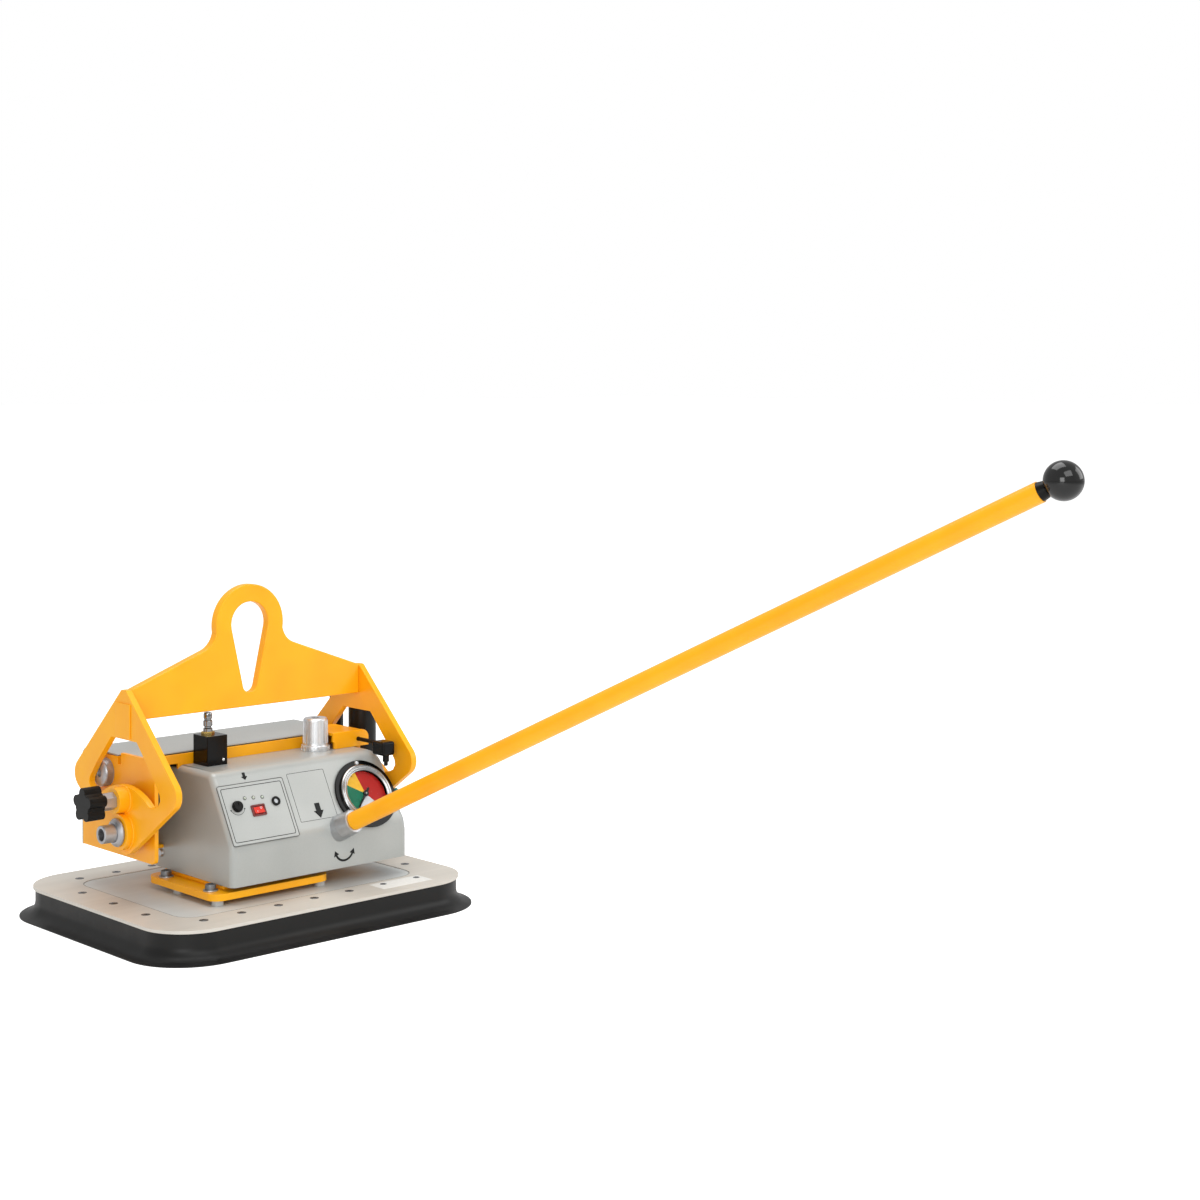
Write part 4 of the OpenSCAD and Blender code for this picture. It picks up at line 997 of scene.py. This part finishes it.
# %% Rocker, frame and socket
rocker_side = [(-4.1, -3), (4.1, -3), (4.1, 2.3), (0.4, 2.5), (-4.1, 4)]
rocker = sheet("rocker_lens", rocker_side, -6.6, 13.2, on_panel(*ROCKER_AT) @ ACROSS)
round_edges(rocker, 0.4, 2)
mount(rocker, "rocker", RED_PLASTIC, ["power_switch"])
on_mark = block("rocker_on_mark", (-0.35, -1.3, 0), (0.35, 1.3, 0.1),
                on_panel(ROCKER_AT[0] - 3.2, ROCKER_AT[1] - 2.2, 3.36)
                @ turned((0, 0, 0), ("X", 18)))
mount(on_mark, "rocker", DIAL_WHITE)
off_mark = sheet("rocker_off_mark", band(0.9, 1.4, 0, 359.9, 16), 0, 0.1,
                 on_panel(ROCKER_AT[0] + 3.2, ROCKER_AT[1] + 2.3, 2.4)
                 @ turned((0, 0, 0), ("X", -3)))
mount(off_mark, "rocker", DIAL_WHITE)
rocker_frame = line_frame("rocker_frame", (-9.4, 9.4, -6.9, 6.9), 1.2, 2.1, 0.8, 1.5,
                          on_panel(*ROCKER_AT))
round_edges(rocker_frame, 0.35, 2)
mount(rocker_frame, "base", DARK_RED)
insulator = turned_piece("socket_insulator", [(0.9, 1.2), (2.7, 1.6), (2.7, -4),
                                              (0.9, -4)], on_panel(*JACK_AT), 32)
mount(insulator, "base", DIAL_WHITE)
print("rocker faces:", len(rocker.data.polygons))

# %% [markdown]
# ## The silencer
# Air leaves through a silencer with a satin metallised skin. Its barrel is fluted so
# that fingers can turn it, and its foot is a crimped ring. The flutes are faces inset
# one by one, which is quicker and cleaner than cutting them.

# %% Turn and flute the silencer
SILENCER_SIDES, SILENCER_CORE = 48, 12


def inset_every_other(piece, low, high, width, depth):
    """Insets every other face of the silencer's side between two heights."""
    def chosen(centre, normal):
        x, y = centre.x - SILENCER_AT[0] * MM, centre.y - SILENCER_AT[1] * MM
        side = int(math.degrees(math.atan2(y, x)) / (360 / SILENCER_SIDES))
        return (low * MM < centre.z < high * MM and abs(normal.z) < 0.3
                and math.hypot(x, y) > SILENCER_CORE * MM and side % 2)
    count = pick_faces(piece, chosen)
    bpy.ops.mesh.inset(thickness=width * MM, depth=-depth * MM, use_individual=True)
    leave_edit()
    return count


silencer = turned_piece(
    "silencer_cap", [(8, 180), (8, 182), (17.3, 182), (17.5, 183), (17.5, 187.6),
                     (16.9, 188.6), (15.8, 189), (15.5, 190.5), (15.5, 191.5),
                     (15, 218), (15, 219), (14.6, 220.4), (13.4, 221.4), (5, 221.5),
                     (5, 180)],
    turned((*SILENCER_AT, 0)), SILENCER_SIDES)
flutes = inset_every_other(silencer, 192, 217, 0.25, 0.7)
crimps = inset_every_other(silencer, 183.5, 187, 0.15, 0.5)
shade(silencer, 32)
mount(silencer, "base", CAST_ZINC, ["silencer"])
print("flutes:", flutes, "crimps:", crimps)

# %% [markdown]
# ## The air plug
# A hose socket snaps over this nickel-plated plug. It stands on a brass collar, and its waist
# and two shoulders are what the socket's balls lock behind.

# %% Turn the air plug
PLUG = turned((*PLUG_AT, 0))
plug = turned_piece("air_plug", [(2.5, 210), (4, 210), (4, 220), (5.6, 220), (5.6, 223.4),
                                 (4.2, 224.4), (4.2, 225.8), (5.6, 226.6), (5.6, 232.4),
                                 (4.4, 233.4), (4.4, 234.8), (5.2, 235.4), (5.2, 240),
                                 (4.6, 241.8), (4.2, 242.5), (2.5, 242.5), (2.5, 210)],
                    PLUG, 40)
shade(plug, 32)
mount(plug, "base", NICKEL, ["air_nipple"])
collar = turned_piece("air_plug_collar", [(5.5, 217), (8, 217), (8, 219.2), (7.4, 220),
                                          (5.5, 220), (5.5, 217)], PLUG, 6)
mount(collar, "base", BRASS)
print("plug faces:", len(plug.data.polygons))

# %% [markdown]
# ## The filter cap
# A round nut, turned bright, closes the vacuum filter from outside. Its rim is knurled for the
# hand, with straight teeth pressed in side by side, and its face is left bright.

# %% Turn and knurl the filter cap
CAP_LEFT, CAP_BACK, CAP_HEIGHT = -150, 71, 174
CAP = turned((CAP_LEFT, CAP_BACK, CAP_HEIGHT), FACING_LEFT)
cap = turned_piece("filter_nut", [(8.9, -13), (8.9, -5), (12, -5), (12, 0), (16.2, 0),
                                  (16.5, 0.5), (16.5, 9.2), (15.4, 10.6), (13.6, 11.3),
                                  (6, 11.3), (5, 10.6), (5, 8)], CAP, 72)
teeth = pick_faces(cap, lambda c, n: -0.1592 < c.x < -0.1504 and abs(n.x) < 0.1
                   and math.hypot(c.y - CAP_BACK * MM, c.z - CAP_HEIGHT * MM) > 0.0162)
bpy.ops.mesh.inset(thickness=0.0002, depth=-0.00045, use_individual=True)
leave_edit()
shade(cap, 30)
mount(cap, "base", TURNED, ["filter_cap"])
print("teeth:", teeth)

# %% [markdown]
# ## Weld beads
# The sockets for the pivot and the lock are welded to the arms. A bead is a low round
# ripple under the paint, so it is modelled as a half-sunk ring in the same yellow.

# %% Lay the weld beads
def ring_bead(name, radius, place, thick=1.5):
    clear_selection()
    bpy.ops.mesh.primitive_torus_add(major_radius=radius * MM, minor_radius=thick * MM,
                                     major_segments=72, minor_segments=10)
    piece = settle(bpy.context.object, name, place)
    pick_faces(piece, lambda c, n: int(
        math.degrees(math.atan2(c.z - place.translation.z, c.y)) // 5) % 2)
    bpy.ops.transform.shrink_fatten(value=-0.0002)
    leave_edit()
    shade(piece, 60)
    return mount(piece, "bail", YELLOW)


ARM_FACE, PIVOT_HEIGHT, LOCK_HEIGHT = 170, 117, 154
BEADS = [("pivot_weld_left", 21.6, -ARM_FACE, PIVOT_HEIGHT),
         ("pivot_weld_right", 21.6, ARM_FACE, PIVOT_HEIGHT),
         ("lock_weld", 15.5, -ARM_FACE, LOCK_HEIGHT)]
for name, radius, side, height in BEADS:
    ring_bead(name, radius, turned((side, 0, height), ("Y", 90)))
print("weld beads:", len(BEADS))

# %% [markdown]
# Where each arm carries the beam, a small plate is welded flat on its outer face. The rail
# between the end plates has a lower edge that closes the gap above the front cover.

# %% Plates over the beam's ends, and the rail's lower edge
edge = block("rail_lower_edge", (-91, 10.4, 176), (140, 13.2, 184.4))
mount(edge, "base", YELLOW)
for name, low, high in (("beam_plate_left", -ARM_FACE - 1.5, -ARM_FACE + 0.1),
                        ("beam_plate_right", ARM_FACE - 0.1, ARM_FACE + 1.5)):
    plate = block(name, (low, -15.5, 225), (high, 15.5, 265))
    round_edges(plate, 0.8, 3)
    mount(plate, "bail", YELLOW)
print("rail edge faces:", len(edge.data.polygons))

# %% [markdown]
# ## The end
# The view layer is brought up to date once more.

# %% Bring the scene up to date
bpy.context.view_layer.update()
